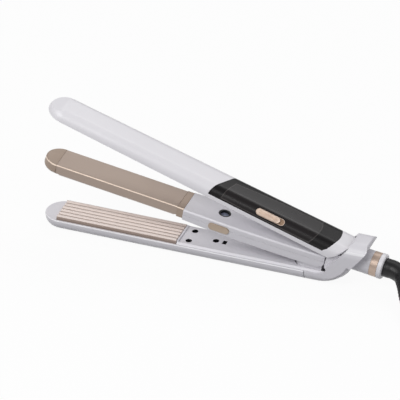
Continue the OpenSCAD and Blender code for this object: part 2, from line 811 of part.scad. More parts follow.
module socket_ring() {
    color([0.16, 0.16, 0.2]) at_middle() difference() {
        union() {
            post(socket_x, 0, smooth_up - shell_wall, smooth_up, socket_r);
            post(socket_x, 0, smooth_up - shell_wall - 0.7, smooth_up - shell_wall - 0.05, socket_r + 1);
            post(socket_x, 0, smooth_up - shell_wall - 0.1, smooth_up - 0.5, socket_r);
        }
        post(socket_x, 0, -5, smooth_up + 1, socket_in_r);
    }
}

module socket_pad() {
    color([0.42, 0.44, 0.52]) at_middle()
        post(socket_x, 0, smooth_up - shell_wall - 1.7, smooth_up - shell_wall - 0.75, socket_r + 1);
}

module mode_button() {
    face = body_w / 2 + 0.1;
    back = 3.2 - body_w / 2;
    color([0.8, 0.68, 0.52]) at_middle() translate([button_x, 0, 0]) {
        // oval button outside the wall
        translate([0, -face, button_z]) rotate([90, 0, 0]) {
            linear_extrude(height = 0.35) slot_2d(button_len, button_h);
            linear_extrude(height = 0.55) slot_2d(button_len - 0.8, button_h - 0.8);
        }
        // neck through the wall, carriage and hook
        block(-5, 5, -face - 0.3, back + 0.4, button_z - 1.2, button_z + 1.2);
        block(-7, 7, back - 0.4, back + 0.8, button_z - 2.2, button_z + 1.6);
        block(-1.5, 1.5, back + 0.3, 1.1, button_z - 2, button_z - 0.6);
        block(-hook_half, hook_half, -1.1, 1.1, hook_low, button_z - 0.6);
        block(-hook_half, hook_half + hook_barb, -1.1, 1.1, hook_low, hook_low + 0.9);
    }
}

module upper_opening_spring() {
    color([0.6, 0.6, 0.62]) at_middle() coil_spring(-30, -5.35, 8.8, 3.5, 0.5, 7);
}

// The upper arm's outer form, inset by d, with its top sloping down to the tip
module upper_bar(d) {
    translate([-20, 0, upper_top]) rotate([0, -upper_slope, 0]) translate([20, 0, 0])
        nosed_bar(-upper_len + d, 10, upper_half - d, -26, -d, 0.5, shoulder_r - d);
}

// Plan of the rounded rear end, inset by d
module rear_round(d) {
    r = upper_round_r - d;
    x = upper_rear_x - upper_round_r;
    y = upper_half + 0.5 - upper_round_r;
    translate([0, 0, -10]) linear_extrude(height = 50) polygon(concat(
        [[-upper_len - 5, -y - r]], arc(x, -y, r, -90, 0, 10), arc(x, y, r, 0, 90, 10),
        [[-upper_len - 5, y + r]]
    ));
}

// Region of the gloss panel on the rear of the upper arm, grown by d
module panel_region(d) {
    w = 20;
    rear = [for (p = panel_rear_line) [panel_rear_x + d - p[0], p[1]]];
    last = len(rear) - 1;
    intersection() {
        side_plate(
            [[-panel_front - 20, panel_low - d], [-16, panel_low + panel_rise - d], [5, panel_low + panel_rise - d],
             [5, 30], [-panel_front - 20, 30]], w
        );
        translate([0, 0, -5]) linear_extrude(height = 40) polygon(concat(
            [[-panel_front - d - (w - upper_half) * panel_skew, -w]],
            [[rear[last][0] - 4, -w]], [for (i = [last:-1:1]) [rear[i][0], -rear[i][1]]], rear,
            [[rear[last][0] - 4, w]],
            [[-panel_front - d + (w + upper_half) * panel_skew, w]]
        ));
    }
}

// Frame of the switch on the near shoulder: x along the arm, z outwards
module at_switch() {
    x = -switch_dist;
    top = upper_top - (switch_dist - 20) * tan(upper_slope);
    translate([x, shoulder_r - upper_half, top - shoulder_r]) rotate([0, -upper_slope, 0])
        rotate([45, 0, 0]) children();
}

module switch_hole(grow) {
    at_switch() translate([0, 0, 3]) linear_extrude(height = 12)
        slot_2d(switch_len + 2 * grow, switch_w + 2 * grow);
}

module upper_shell() {
    color([0.93, 0.93, 0.95]) at_upper() difference() {
        union() {
            difference() {
                intersection() {
                    upper_bar(0);
                    rear_round(0);
                }
                intersection() {
                    upper_bar(upper_wall);
                    rear_round(upper_wall);
                }
            }
            // web under the nose
            intersection() {
                upper_bar(0.3);
                block(-upper_len, smooth_x - 0.4, -20, 20, upper_low, upper_in_low);
            }
            // posts for the deck's screws
            intersection() {
                upper_bar(0.5);
                union() {
                    for (x = upper_screw_x) post(x, 0, upper_low + 3.05, 30, 3);
                }
            }
        }
        block(-upper_len - 5, 10, -20, 20, -30, upper_low);
        difference() {
            intersection() {
                upper_bar(-1);
                panel_region(fit_gap);
            }
            upper_bar(panel_t + 0.05);
        }
        for (x = upper_screw_x) post(x, 0, 0, upper_low + 8, screw_r + 0.05);
        switch_hole(0.1);
        ears(fit_gap);
        // slanted cut that keeps the rear end off the yoke
        side_plate([[-12.2, upper_low - 1], [-2.5, 12.6], [15, 12.6], [15, upper_low - 1]], 20);
    }
}

// The ears that hold the upper arm on the pin, grown by d
module ears(d) {
    side = concat(
        [[-24, upper_in_low], [-24, upper_low], [-12.2, upper_low], [-11.8, -4], [-11, -8], [-9, -9.4], [-4, -8.6]],
        arc(0, 0, 2.8, -90, 0, 6), [[4, 5], [4, 9.5], [-6, 9.5]]
    );
    half = ear_in + ear_w + d;
    side_plate([for (p = side) p + [0, p[1] > 5 ? d : 0]], half);
    ear_rings(d);
}

// Rings of the ears round the pin, rounded outwards to suit the yoke, grown by d
module ear_rings(d) {
    half = ear_in + ear_w;
    for (s = [-1, 1]) rotate([s * 90, 0, 0]) rotate_extrude() polygon([
        [0, 0], [ear_r + d, 0], [ear_r + d, ear_in + 0.2], [ear_r - 0.5 + d, ear_in + 1.1 + d / 2],
        [ear_r - 1.4 + d, half - 0.7 + d / 2], [3.4 + d, half + d], [0, half + d]
    ]);
}

module upper_deck() {
    in = upper_wall + fit_gap;
    front = -smooth_rear + 0.4;
    color([0.92, 0.92, 0.94]) at_upper() difference() {
        union() {
            difference() {
                intersection() {
                    upper_bar(in);
                    rear_round(in);
                    block(front, -9.5, -20, 20, upper_low, upper_in_low);
                }
                across(clear_r + 1, 20);
            }
            difference() {
                ears(0);
                across(30, ear_in);
            }
            for (x = upper_screw_x) post(x, 0, upper_low + 0.5, upper_low + 3, 3.4);
            // post that drops into the middle arm's socket
            post(socket_x, 0, upper_low - 1.5, upper_low + 0.5, socket_in_r - 0.6);
        }
        across(pin_r + pin_play, 20);
        for (x = upper_screw_x) {
            post(x, 0, 0, 10, screw_r + 0.15);
            post(x, 0, 0, upper_low + 2.05, screw_head_r + 0.2);
        }
    }
}

module upper_smooth_plate() {
    half = upper_half - upper_wall - 0.4;
    color([0.66, 0.59, 0.53]) at_upper() section(
        round_box(half, upper_plate_z, upper_plate_z + 1.8, 0.8, 0.2, 4), smooth_x, -smooth_rear
    );
}

module upper_plate_mount() {
    low = upper_plate_z + 1.85;
    color([0.25, 0.25, 0.27]) at_upper() intersection() {
        upper_bar(upper_wall + 0.05);
        union() {
            for (x = [smooth_x + 2, -smooth_rear - 8.5]) difference() {
                block(x, x + 8, -9, 9, low, 20);
                block(x - 1, x + 9, -5.5, 5.5, low - 1, low + 4.5);
            }
        }
    }
}

module upper_heater() {
    low = upper_plate_z + 1.85;
    color([0.85, 0.6, 0.4]) at_upper()
        block(heater_x, heater_x + heater_len, -heater_w / 2, heater_w / 2, low, low + heater_t);
}

module upper_heater_spring() {
    low = upper_plate_z + 1.9 + heater_t;
    color([0.7, 0.7, 0.72]) at_upper()
        leaf_spring(heater_x + 6, heater_x + heater_len - 6, low, low + 1.6, 4);
}

module upper_leads() {
    z = upper_plate_z + 1.85 + heater_t / 2;
    end = heater_x + heater_len;
    color([0.75, 0.1, 0.1]) at_upper() for (s = [-1, 1]) wire(
        [[end + 0.1, s * 3, z], [end + 9, s * 3.5, z + 1], [-131, s * 6.5, 8],
         [-121, 1.5 + s * 5, board_z + 0.6], [board_x - 0.7, 4 + s * 2.5, board_z + 0.6]], 0.6
    );
}

module upper_screws() {
    color([0.3, 0.3, 0.32]) at_upper() for (x = upper_screw_x)
        translate([x, 0, 0]) rotate([180, 0, 0]) screw(0, 0, -upper_low - 0.6, 4.5);
}

module black_panel() {
    color([0.11, 0.1, 0.11]) at_upper() difference() {
        intersection() {
            upper_bar(0);
            panel_region(0);
        }
        upper_bar(panel_t);
        switch_hole(0.1);
    }
}

module switch_frame() {
    z = shoulder_r;
    pocket_len = switch_len - 0.8;
    pocket_w = switch_w - 0.8;
    color([0.86, 0.8, 0.74]) at_upper() at_switch() difference() {
        translate([0, 0, z - 2]) linear_extrude(height = 2.15) slot_2d(switch_len, switch_w);
        translate([0, 0, z - 1]) linear_extrude(height = 2) slot_2d(pocket_len, pocket_w);
        translate([0, 0, z - 4]) linear_extrude(height = 5)
            square([8.6 + 2 * switch_travel, 1.7], center = true);
    }
}

module power_switch() {
    z = shoulder_r;
    knob_len = switch_len - 1.1 - switch_travel;
    knob_w = switch_w - 1.1;
    color([0.92, 0.82, 0.74]) at_upper() at_switch() translate([-switch_travel / 2, 0, 0]) {
        difference() {
            translate([0, 0, z - 0.9]) linear_extrude(height = 1.7) slot_2d(knob_len, knob_w);
            for (i = [-4:4]) translate([i * 1.9 - 0.25, -knob_w, z + 0.45]) cube([0.5, 2 * knob_w, 1]);
        }
        translate([0, 0, z - 3.1]) linear_extrude(height = 2.3) square([8, 1.3], center = true);
    }
}

module switch_body() {
    z = shoulder_r - 2.1;
    color([0.2, 0.2, 0.22]) at_upper() at_switch() difference() {
        translate([-8.5, -2.6, z - 3.6]) cube([17, 5.2, 3.6]);
        translate([-4.3 - switch_travel, -0.85, z - 1.3]) cube([8.6 + 2 * switch_travel, 1.7, 2]);
    }
}

module control_board() {
    color([0.12, 0.35, 0.2]) at_upper() difference() {
        block(board_x, board_x + 61, -3, 11, board_z, board_z + 1.2);
        for (x = [board_x + 4, board_x + 57]) post(x, 8, 0, 20, 1.1);
    }
}

module indicator_led() {
    color([0.9, 0.25, 0.2]) at_upper() {
        post(board_x + 17, 3, board_z + 1.25, board_z + 4, 1.5);
        translate([board_x + 17, 3, board_z + 4]) sphere(r = 1.5);
    }
}

module thermal_fuse() {
    z = upper_plate_z + 1.85 + 1.4;
    color([0.8, 0.8, 0.82]) at_upper() translate([heater_x - 3, 0, z]) rotate([90, 0, 0])
        translate([0, 0, -5]) cylinder(r = 1.35, h = 10);
}

module swivel_spindle() {
    color([0.2, 0.2, 0.22]) at_pin() difference() {
        union() {
            gland_axis(slip_at - 1, trim_at - 7.9, slip_core_r);
            gland_axis(trim_at - 8, trim_at - 6.2, spindle_r + 1.1);
            gland_axis(trim_at - 6.3, end_ring_at + 1.5, spindle_r);
        }
        gland_axis(trim_at - 6.5, gland_end + 1, spindle_bore);
        gland_axis(0, trim_at - 6.4, slip_core_r - 1.4);
    }
}

module slip_rings() {
    color([0.8, 0.6, 0.3]) at_pin() for (i = [0, 1]) difference() {
        gland_axis(slip_at + i * slip_pitch, slip_at + i * slip_pitch + 1.4, slip_r);
        gland_axis(slip_at - 1, slip_at + 6, slip_core_r + 0.05);
    }
}

module brush_contacts() {
    color([0.8, 0.6, 0.3]) at_pin() translate([0, 0, gland_lift]) rotate([0, gland_tilt, 0])
        for (i = [0, 1]) block(
            slip_at + i * slip_pitch + 0.3, slip_at + i * slip_pitch + 1.1, -1.2, 1.2,
            slip_r + 0.15, spindle_r + 1.2
        );
}

module end_ring() {
    color([0.93, 0.93, 0.95]) at_pin() difference() {
        union() {
            gland_axis(end_ring_at, gland_end - 0.6, end_ring_r);
            gland_axis(gland_end - 0.7, gland_end, end_ring_r - 0.6);
        }
        gland_axis(end_ring_at - 1, end_ring_at + 1.6, spindle_r + 0.05);
        gland_axis(end_ring_at, gland_end + 1, spindle_bore);
    }
}

// The centre of the end ring's outer face, and the direction of the gland
exit_pt = [
    pin_x + gland_end * cos(gland_tilt), 0, pin_z + gland_lift - gland_end * sin(gland_tilt)
];
exit_dir = [cos(gland_tilt), 0, -sin(gland_tilt)];

module strain_relief() {
    path = smooth_path(concat([for (t = [0, 1.5, 3]) exit_pt + t * exit_dir], relief_pts), 3);
    n = len(path) - 1;
    radii = [for (i = [0:n]) relief_r + (relief_end_r - relief_r) * pow(i / n, 1.7)];
    color([0.09, 0.09, 0.1]) {
        tube(path, radii, 12);
        // shank inside the spindle
        at_pin() gland_axis(trim_at - 4, gland_end + 0.5, spindle_bore - 0.05);
    }
}

module cord_lead() {
    color([0.07, 0.07, 0.08]) tube(smooth_path(lead_pts, 2), cord_d / 2, 8);
}

// A point of the hank after u loops: a near run, a fold, a far run and a fold
function hank_u(u) = u - floor(u);
function hank_level(u) =
    hank_start[2] + hank_layer * min(max((u - hank_loops) / 0.25, 0), 1);
function hank_radius(u) =
    hank_in_r + hank_step * (u < hank_loops ? hank_loops - u : max(u - hank_loops - 0.25, 0));
function hank_point(u) =
    let (
        f = hank_u(u) * 4, part = floor(f), s = f - part, r = hank_radius(u), z = hank_level(u),
        waist = 1 - hank_waist * pow(sin(180 * s), 2),
        a = part == 1 ? -90 + 180 * s : 90 + 180 * s
    )
    part == 0 ? [hank_x0 + hank_run * s, hank_y - r * waist, z]
    : part == 1 ? [hank_x0 + hank_run + r * cos(a), hank_y + r * sin(a), z]
    : part == 2 ? [hank_x0 + hank_run * (1 - s), hank_y + r * waist, z]
    : [hank_x0 + r * cos(a), hank_y + r * sin(a), z];
hank_steps = [0, 1 / 16, 1 / 8, 3 / 16, 1 / 4, 9 / 32, 5 / 16, 11 / 32, 3 / 8, 13 / 32, 7 / 16, 15 / 32];
hank_end = 2 * hank_loops;
hank_path = concat(
    [hank_start],
    [for (k = [0:hank_end - 1]) for (h = [0, 0.5]) for (s = hank_steps) hank_point(k + h + s)],
    [hank_point(hank_end - 0.0001), hank_point(hank_end - 0.0001) + [cord_d, 0, 0]]
);

// Least distance between parts of the hank that are not neighbours along it
function hank_gap(p) = min([
    for (i = [0:len(p) - 1]) for (j = [i + 8:1:len(p) - 1]) norm(p[i] - p[j])
]) - cord_d;

module cord_hank() {
    path = smooth_path(hank_path, 1);
    echo(hank_gap = hank_gap(path), hank_length = path_length(path), rings = len(path));
    color([0.07, 0.07, 0.08]) tube(path, cord_d / 2, 6);
}

module cord_tail() {
    color([0.07, 0.07, 0.08]) tube(smooth_path(tail_pts, 2), cord_d / 2, 8);
}

module cord_tie() {
    x = hank_x0 + hank_run / 2;
    half = hank_out_r * (1 - hank_waist) + cord_d / 2 + 0.5;
    low = 0.1;
    high = hank_start[2] + hank_layer + cord_d / 2 + 0.2;
    color([0.12, 0.12, 0.13]) translate([x - 4, hank_y, 0]) rotate([90, 0, 90])
        linear_extrude(height = 8) difference() {
            polygon(round_box(half + 0.6, low, high + 0.6, 3, 3, 6));
            polygon(round_box(half, low + 0.5, high, 2.5, 2.5, 6));
        }
}

module plug_body() {
    color([0.07, 0.07, 0.08]) translate(plug_at) {
        rotate([0, 90, 0]) cylinder(r1 = 3.6, r2 = 5, h = plug_relief_len);
        section(round_box(8, -7, 7, 5, 5), plug_relief_len - 1, plug_relief_len + 14);
        section(round_box(13.5, -7, 7, 5, 5), plug_relief_len + 12, plug_relief_len + plug_len - 12);
    }
}

module plug_pins() {
    x = plug_relief_len + plug_len - 14;
    color([0.8, 0.8, 0.82]) translate(plug_at) for (s = [-1, 1])
        translate([x + 2, s * plug_pitch / 2, 0]) rotate([0, 90, 0])
            cylinder(r = plug_pin_r, h = plug_pin_len);
}

lower_shell();
rear_deck();
lower_crimp_plate();
lower_plate_mount();
lower_heater();
lower_heater_spring();
lower_leads();
deck_screws();
latch_cup();
yoke();
hinge_pin();
trim_ring();
lower_opening_spring();
middle_smooth_plate();
middle_crimp_plate();
middle_heater();
middle_heater_spring();
middle_tip_cap();
middle_end_frame();
middle_top_shell();
middle_base();
middle_bush();
middle_screws();
middle_leads();
socket_ring();
socket_pad();
mode_button();
upper_opening_spring();
upper_shell();
upper_deck();
upper_smooth_plate();
upper_plate_mount();
upper_heater();
upper_heater_spring();
upper_leads();
upper_screws();
black_panel();
switch_frame();
power_switch();
switch_body();
control_board();
indicator_led();
thermal_fuse();
brush_contacts();
slip_rings();
swivel_spindle();
end_ring();
strain_relief();
cord_lead();
cord_hank();
cord_tail();
cord_tie();
plug_body();
plug_pins();
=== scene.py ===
import json
import math

import bpy
from mathutils import Matrix, Vector

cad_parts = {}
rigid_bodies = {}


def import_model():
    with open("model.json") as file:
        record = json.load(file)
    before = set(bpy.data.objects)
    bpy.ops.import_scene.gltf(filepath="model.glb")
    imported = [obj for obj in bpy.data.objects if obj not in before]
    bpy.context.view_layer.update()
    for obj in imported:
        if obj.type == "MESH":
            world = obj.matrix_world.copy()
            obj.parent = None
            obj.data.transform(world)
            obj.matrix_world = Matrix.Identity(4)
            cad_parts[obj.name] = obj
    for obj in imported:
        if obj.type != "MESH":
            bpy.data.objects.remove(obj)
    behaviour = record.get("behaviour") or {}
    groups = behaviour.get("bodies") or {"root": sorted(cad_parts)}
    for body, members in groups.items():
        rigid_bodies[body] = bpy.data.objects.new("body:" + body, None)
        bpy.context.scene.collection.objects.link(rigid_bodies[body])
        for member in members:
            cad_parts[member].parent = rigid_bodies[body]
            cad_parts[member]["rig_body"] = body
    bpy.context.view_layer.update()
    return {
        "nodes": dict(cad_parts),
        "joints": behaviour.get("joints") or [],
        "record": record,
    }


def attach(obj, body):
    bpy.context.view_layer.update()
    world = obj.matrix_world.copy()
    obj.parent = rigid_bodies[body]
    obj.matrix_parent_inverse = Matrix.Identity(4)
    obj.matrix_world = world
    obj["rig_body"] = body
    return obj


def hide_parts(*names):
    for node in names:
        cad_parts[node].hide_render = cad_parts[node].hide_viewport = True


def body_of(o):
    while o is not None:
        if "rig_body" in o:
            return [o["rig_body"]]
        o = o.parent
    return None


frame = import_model()
nodes = frame["nodes"]
slots = {p["node"]: p["material_slot"] for p in frame["record"]["subparts"]}
bodies = {name: body_of(node)[0] for name, node in nodes.items()}
joints = {joint["name"]: joint for joint in frame["joints"]}
mm = 0.001
print("frame loaded,", len(nodes), "nodes")

# camera at the photograph's viewing angle, far away with a long lens
cameraSettings = {
    "azimuth": 20.5,
    "elevation": 32.9,
    "distance": 12.0,
    "framedWidth": 0.3216,
    "target": (-0.0138, 0, 0.0473),
    "sensor": 36,
    "clipEnd": 60,
}


def makeCamera(s):
    azimuth = math.radians(s["azimuth"])
    elevation = math.radians(s["elevation"])
    target = Vector(s["target"])
    away = Vector((
        math.sin(azimuth) * math.cos(elevation),
        -math.cos(azimuth) * math.cos(elevation),
        math.sin(elevation),
    ))
    bpy.ops.object.camera_add(location=target + away * s["distance"])
    camera = bpy.context.object
    camera.rotation_euler = (-away).to_track_quat("-Z", "Y").to_euler()
    camera.data.sensor_width = s["sensor"]
    camera.data.lens = s["sensor"] * s["distance"] / s["framedWidth"]
    camera.data.clip_end = s["clipEnd"]
    bpy.context.scene.camera = camera


makeCamera(cameraSettings)
print("camera placed")

# each arm stands open about the pin by as many degrees as it can close
middleOpen = joints["middle_hinge"]["range_deg"][1]
upperOpen = middleOpen + joints["upper_hinge"]["range_deg"][1]


def armPlace(degrees):
    pin = Vector(joints["middle_hinge"]["pos_m"])
    return Matrix.Translation(pin) @ Matrix.Rotation(math.radians(degrees), 4, "Y")


lowerPlace = armPlace(0)
middlePlace = armPlace(middleOpen)
upperPlace = armPlace(upperOpen)


# finishes

def tone(r, g, b):
    # a colour as it is read from a screen, 0 to 255
    values = [c / 255 for c in (r, g, b)]
    return tuple(((c + 0.055) / 1.055) ** 2.4 if c > 0.04 else c / 12.92 for c in values) + (1,)


def newGroup(name, inputs, outputs):
    tree = bpy.data.node_groups.new(name, "ShaderNodeTree")
    for label, kind, value in inputs:
        socket = tree.interface.new_socket(name=label, in_out="INPUT", socket_type="NodeSocket" + kind)
        if kind != "Vector":
            socket.default_value = value
    for label, kind in outputs:
        tree.interface.new_socket(name=label, in_out="OUTPUT", socket_type="NodeSocket" + kind)
    return tree, tree.nodes.new("NodeGroupInput"), tree.nodes.new("NodeGroupOutput")


def addNode(tree, kind, **values):
    node = tree.nodes.new("ShaderNode" + kind)
    for key, value in values.items():
        if key in node.inputs:
            node.inputs[key].default_value = value
        else:
            setattr(node, key, value)
    return node


def addSpread(tree, low, high, **values):
    # stretches what lies between low and high over the whole way from 0 to 1
    spread = addNode(tree, "MapRange", **values)
    spread.inputs["From Min"].default_value = low
    spread.inputs["From Max"].default_value = high
    return spread


driftSettings = {"detail": 3, "roughness": 0.55, "low": 0.3, "high": 0.7}


def makeToneDrift(s):
    # slow change between two colours over a moulding, a coat or a cloth
    tree, start, end = newGroup(
        "toneDrift",
        [("Vector", "Vector", 0), ("Light", "Color", (1, 1, 1, 1)), ("Dark", "Color", (0.8, 0.8, 0.8, 1)),
         ("Scale", "Float", 40)],
        [("Color", "Color")],
    )
    noise = addNode(tree, "TexNoise", Detail=s["detail"], Roughness=s["roughness"])
    spread = addSpread(tree, s["low"], s["high"])
    mix = addNode(tree, "Mix", data_type="RGBA")
    link = tree.links.new
    link(start.outputs["Vector"], noise.inputs["Vector"])
    link(start.outputs["Scale"], noise.inputs["Scale"])
    link(noise.outputs["Fac"], spread.inputs["Value"])
    link(spread.outputs["Result"], mix.inputs["Factor"])
    link(start.outputs["Light"], mix.inputs[6])
    link(start.outputs["Dark"], mix.inputs[7])
    link(mix.outputs[2], end.inputs["Color"])


grainSettings = {"coarseDetail": 2, "fineDetail": 1, "roughness": 0.5, "finer": 3.1, "fineShare": 0.35}


def makeMouldGrain(s):
    # fine pitted texture of a mould, in two sizes
    tree, start, end = newGroup(
        "mouldGrain",
        [("Vector", "Vector", 0), ("Scale", "Float", 2500), ("Fine", "Float", s["fineShare"])],
        [("Height", "Float")],
    )
    coarse = addNode(tree, "TexNoise", Detail=s["coarseDetail"], Roughness=s["roughness"])
    fine = addNode(tree, "TexNoise", Detail=s["fineDetail"], Roughness=s["roughness"])
    fineScale = addNode(tree, "Math", operation="MULTIPLY")
    fineScale.inputs[1].default_value = s["finer"]
    mix = addNode(tree, "Mix", data_type="FLOAT")
    link = tree.links.new
    link(start.outputs["Vector"], coarse.inputs["Vector"])
    link(start.outputs["Vector"], fine.inputs["Vector"])
    link(start.outputs["Scale"], coarse.inputs["Scale"])
    link(start.outputs["Scale"], fineScale.inputs[0])
    link(fineScale.outputs[0], fine.inputs["Scale"])
    link(start.outputs["Fine"], mix.inputs[0])
    link(coarse.outputs["Fac"], mix.inputs[2])
    link(fine.outputs["Fac"], mix.inputs[3])
    link(mix.outputs[0], end.inputs["Height"])


sheenSettings = {"detail": 5, "roughness": 0.62, "distortion": 0.4, "low": 0.35, "high": 0.68}


def makeHandledSheen(s):
    # roughness that wanders between polished and dull, with faint smears
    tree, start, end = newGroup(
        "handledSheen",
        [("Vector", "Vector", 0), ("Polished", "Float", 0.2), ("Dull", "Float", 0.35),
         ("Scale", "Float", 60)],
        [("Roughness", "Float")],
    )
    noise = addNode(
        tree, "TexNoise", Detail=s["detail"], Roughness=s["roughness"], Distortion=s["distortion"],
    )
    spread = addSpread(tree, s["low"], s["high"], interpolation_type="SMOOTHSTEP")
    link = tree.links.new
    link(start.outputs["Vector"], noise.inputs["Vector"])
    link(start.outputs["Scale"], noise.inputs["Scale"])
    link(noise.outputs["Fac"], spread.inputs["Value"])
    link(start.outputs["Polished"], spread.inputs["To Min"])
    link(start.outputs["Dull"], spread.inputs["To Max"])
    link(spread.outputs["Result"], end.inputs["Roughness"])


lineSettings = {"detail": 3, "roughness": 0.6, "low": 0.3, "high": 0.7}


def makeBrushedLines(s):
    # fine lines drawn out along the first axis of the vector
    tree, start, end = newGroup(
        "brushedLines",
        [("Vector", "Vector", 0), ("Along", "Float", 20), ("Across", "Float", 2600)],
        [("Height", "Float"), ("Tone", "Float")],
    )
    stretch = addNode(tree, "CombineXYZ")
    multiply = addNode(tree, "VectorMath", operation="MULTIPLY")
    noise = addNode(tree, "TexNoise", Scale=1, Detail=s["detail"], Roughness=s["roughness"])
    spread = addSpread(tree, s["low"], s["high"])
    link = tree.links.new
    link(start.outputs["Along"], stretch.inputs["X"])
    link(start.outputs["Across"], stretch.inputs["Y"])
    link(start.outputs["Across"], stretch.inputs["Z"])
    link(start.outputs["Vector"], multiply.inputs[0])
    link(stretch.outputs[0], multiply.inputs[1])
    link(multiply.outputs[0], noise.inputs["Vector"])
    link(noise.outputs["Fac"], end.inputs["Height"])
    link(noise.outputs["Fac"], spread.inputs["Value"])
    link(spread.outputs["Result"], end.inputs["Tone"])


makeToneDrift(driftSettings)
makeMouldGrain(grainSettings)
makeHandledSheen(sheenSettings)
makeBrushedLines(lineSettings)
finishes = {}


def newFinish(name):
    material = bpy.data.materials.new(name)
    material.use_nodes = True
    tree = material.node_tree
    place = addNode(tree, "TexCoord")
    finishes[name] = material
    return tree, tree.nodes["Principled BSDF"], place.outputs["Object"]


def useGroup(tree, group, vector, **values):
    node = tree.nodes.new("ShaderNodeGroup")
    node.node_tree = bpy.data.node_groups[group]
    tree.links.new(vector, node.inputs["Vector"])
    for label, value in values.items():
        node.inputs[label].default_value = value
    return node


def addBump(tree, height, shader, depth):
    bump = addNode(tree, "Bump", Strength=1.0, Distance=depth * mm)
    tree.links.new(height, bump.inputs["Height"])
    tree.links.new(bump.outputs["Normal"], shader.inputs["Normal"])


def turnedVector(tree, vector, place):
    # puts a pattern into an arm's own axes
    back = place.inverted()
    mapping = addNode(tree, "Mapping")
    mapping.inputs["Location"].default_value = back.to_translation()
    mapping.inputs["Rotation"].default_value = back.to_euler()
    tree.links.new(vector, mapping.inputs["Vector"])
    return mapping.outputs["Vector"]


def addTones(tree, shader, vector, s):
    # what plastic and metal share: a drifting colour, and a roughness that wanders
    drift = useGroup(tree, "toneDrift", vector, Light=s["light"], Dark=s["dark"], Scale=s["driftScale"])
    sheen = useGroup(
        tree, "handledSheen", vector, Polished=s["polished"], Dull=s["dull"], Scale=s["sheenScale"],
    )
    tree.links.new(sheen.outputs["Roughness"], shader.inputs["Roughness"])
    return drift.outputs["Color"]


def mouldedFinish(name, s):
    tree, shader, vector = newFinish(name)
    color = addTones(tree, shader, vector, s)
    grain = useGroup(tree, "mouldGrain", vector, Scale=s["grainScale"])
    tree.links.new(color, shader.inputs["Base Color"])
    addBump(tree, grain.outputs["Height"], shader, s["grainDepth"])
    shader.inputs["Specular IOR Level"].default_value = s.get("specular", 0.5)
    if "coat" in s:
        shader.inputs["Coat Weight"].default_value = s["coat"]
        shader.inputs["Coat Roughness"].default_value = s["coatRoughness"]


def brushedFinish(name, s, place):
    tree, shader, vector = newFinish(name)
    color = addTones(tree, shader, vector, s)
    along = turnedVector(tree, vector, place)
    lines = useGroup(tree, "brushedLines", along, Along=s["along"], Across=s["across"])
    fleck = addNode(tree, "Mix", data_type="RGBA", blend_type="MULTIPLY")
    fleck.inputs["Factor"].default_value = s["lineTone"]
    link = tree.links.new
    link(color, fleck.inputs[6])
    link(lines.outputs["Tone"], fleck.inputs[7])
    link(fleck.outputs[2], shader.inputs["Base Color"])
    addBump(tree, lines.outputs["Height"], shader, s["lineDepth"])
    shader.inputs["Metallic"].default_value = s["metallic"]


plasticSettings = {
    "whiteShell": {
        "light": tone(229, 227, 232), "dark": tone(226, 224, 229), "driftScale": 14,
        "grainScale": 2600, "grainDepth": 0.006, "polished": 0.34, "dull": 0.4, "sheenScale": 35,
        "coat": 0.15, "coatRoughness": 0.28,
    },
    # a lighter copy of whiteShell: painted light, for the upper arm's shell and the gland's end ring
    "brightShell": {
        "light": tone(240, 238, 242), "dark": tone(237, 235, 239), "driftScale": 14,
        "grainScale": 2600, "grainDepth": 0.006, "polished": 0.32, "dull": 0.38, "sheenScale": 35,
        "coat": 0.2, "coatRoughness": 0.25,
    },
    # painted highlight: a near-white for the shining rims and edges
    "rimShine": {
        "light": tone(252, 251, 254), "dark": tone(249, 248, 251), "driftScale": 30,
        "grainScale": 2600, "grainDepth": 0.004, "polished": 0.3, "dull": 0.36, "sheenScale": 60,
        "coat": 0.3, "coatRoughness": 0.2,
    },
    "glossBlack": {
        "light": tone(17, 14, 15), "dark": tone(13, 10, 11), "driftScale": 20,
        "grainScale": 1400, "grainDepth": 0.0015, "polished": 0.3, "dull": 0.34, "sheenScale": 45,
        "specular": 0.34,
    },
    "smokedLens": {
        "light": tone(22, 15, 16), "dark": tone(18, 12, 13), "driftScale": 20,
        "grainScale": 1400, "grainDepth": 0.0006, "polished": 0.27, "dull": 0.3, "sheenScale": 45,
        "specular": 0.52,
    },
    # painted highlight: the lighter colour of the thin border round the lens
    "lensGlint": {
        "light": tone(72, 67, 66), "dark": tone(64, 59, 58), "driftScale": 200,
        "grainScale": 1400, "grainDepth": 0.001, "polished": 0.25, "dull": 0.35, "sheenScale": 200,
    },
    # dark plastic, also used as painted shade inside the deck's holes and slot
    "satinBlack": {
        "light": tone(30, 30, 33), "dark": tone(22, 22, 25), "driftScale": 60,
        "grainScale": 3200, "grainDepth": 0.02, "polished": 0.4, "dull": 0.55, "sheenScale": 80,
    },
    "socketGrey": {
        "light": tone(150, 156, 178), "dark": tone(132, 138, 160), "driftScale": 300,
        "grainScale": 2800, "grainDepth": 0.03, "polished": 0.35, "dull": 0.55, "sheenScale": 200,
    },
    "cordRubber": {
        "light": tone(30, 29, 31), "dark": tone(22, 21, 23), "driftScale": 120,
        "grainScale": 3600, "grainDepth": 0.03, "polished": 0.36, "dull": 0.46, "sheenScale": 90,
        "specular": 0.38,
    },
    "creamCeramic": {
        "light": tone(232, 214, 190), "dark": tone(206, 182, 150), "driftScale": 180,
        "grainScale": 4200, "grainDepth": 0.03, "polished": 0.5, "dull": 0.7, "sheenScale": 150,
    },
    "redSilicone": {
        "light": tone(176, 42, 36), "dark": tone(140, 26, 24), "driftScale": 200,
        "grainScale": 3800, "grainDepth": 0.02, "polished": 0.35, "dull": 0.5, "sheenScale": 150,
    },
    "ledRed": {
        "light": tone(226, 70, 56), "dark": tone(190, 40, 34), "driftScale": 500,
        "grainScale": 1200, "grainDepth": 0.002, "polished": 0.08, "dull": 0.16, "sheenScale": 200,
    },
}
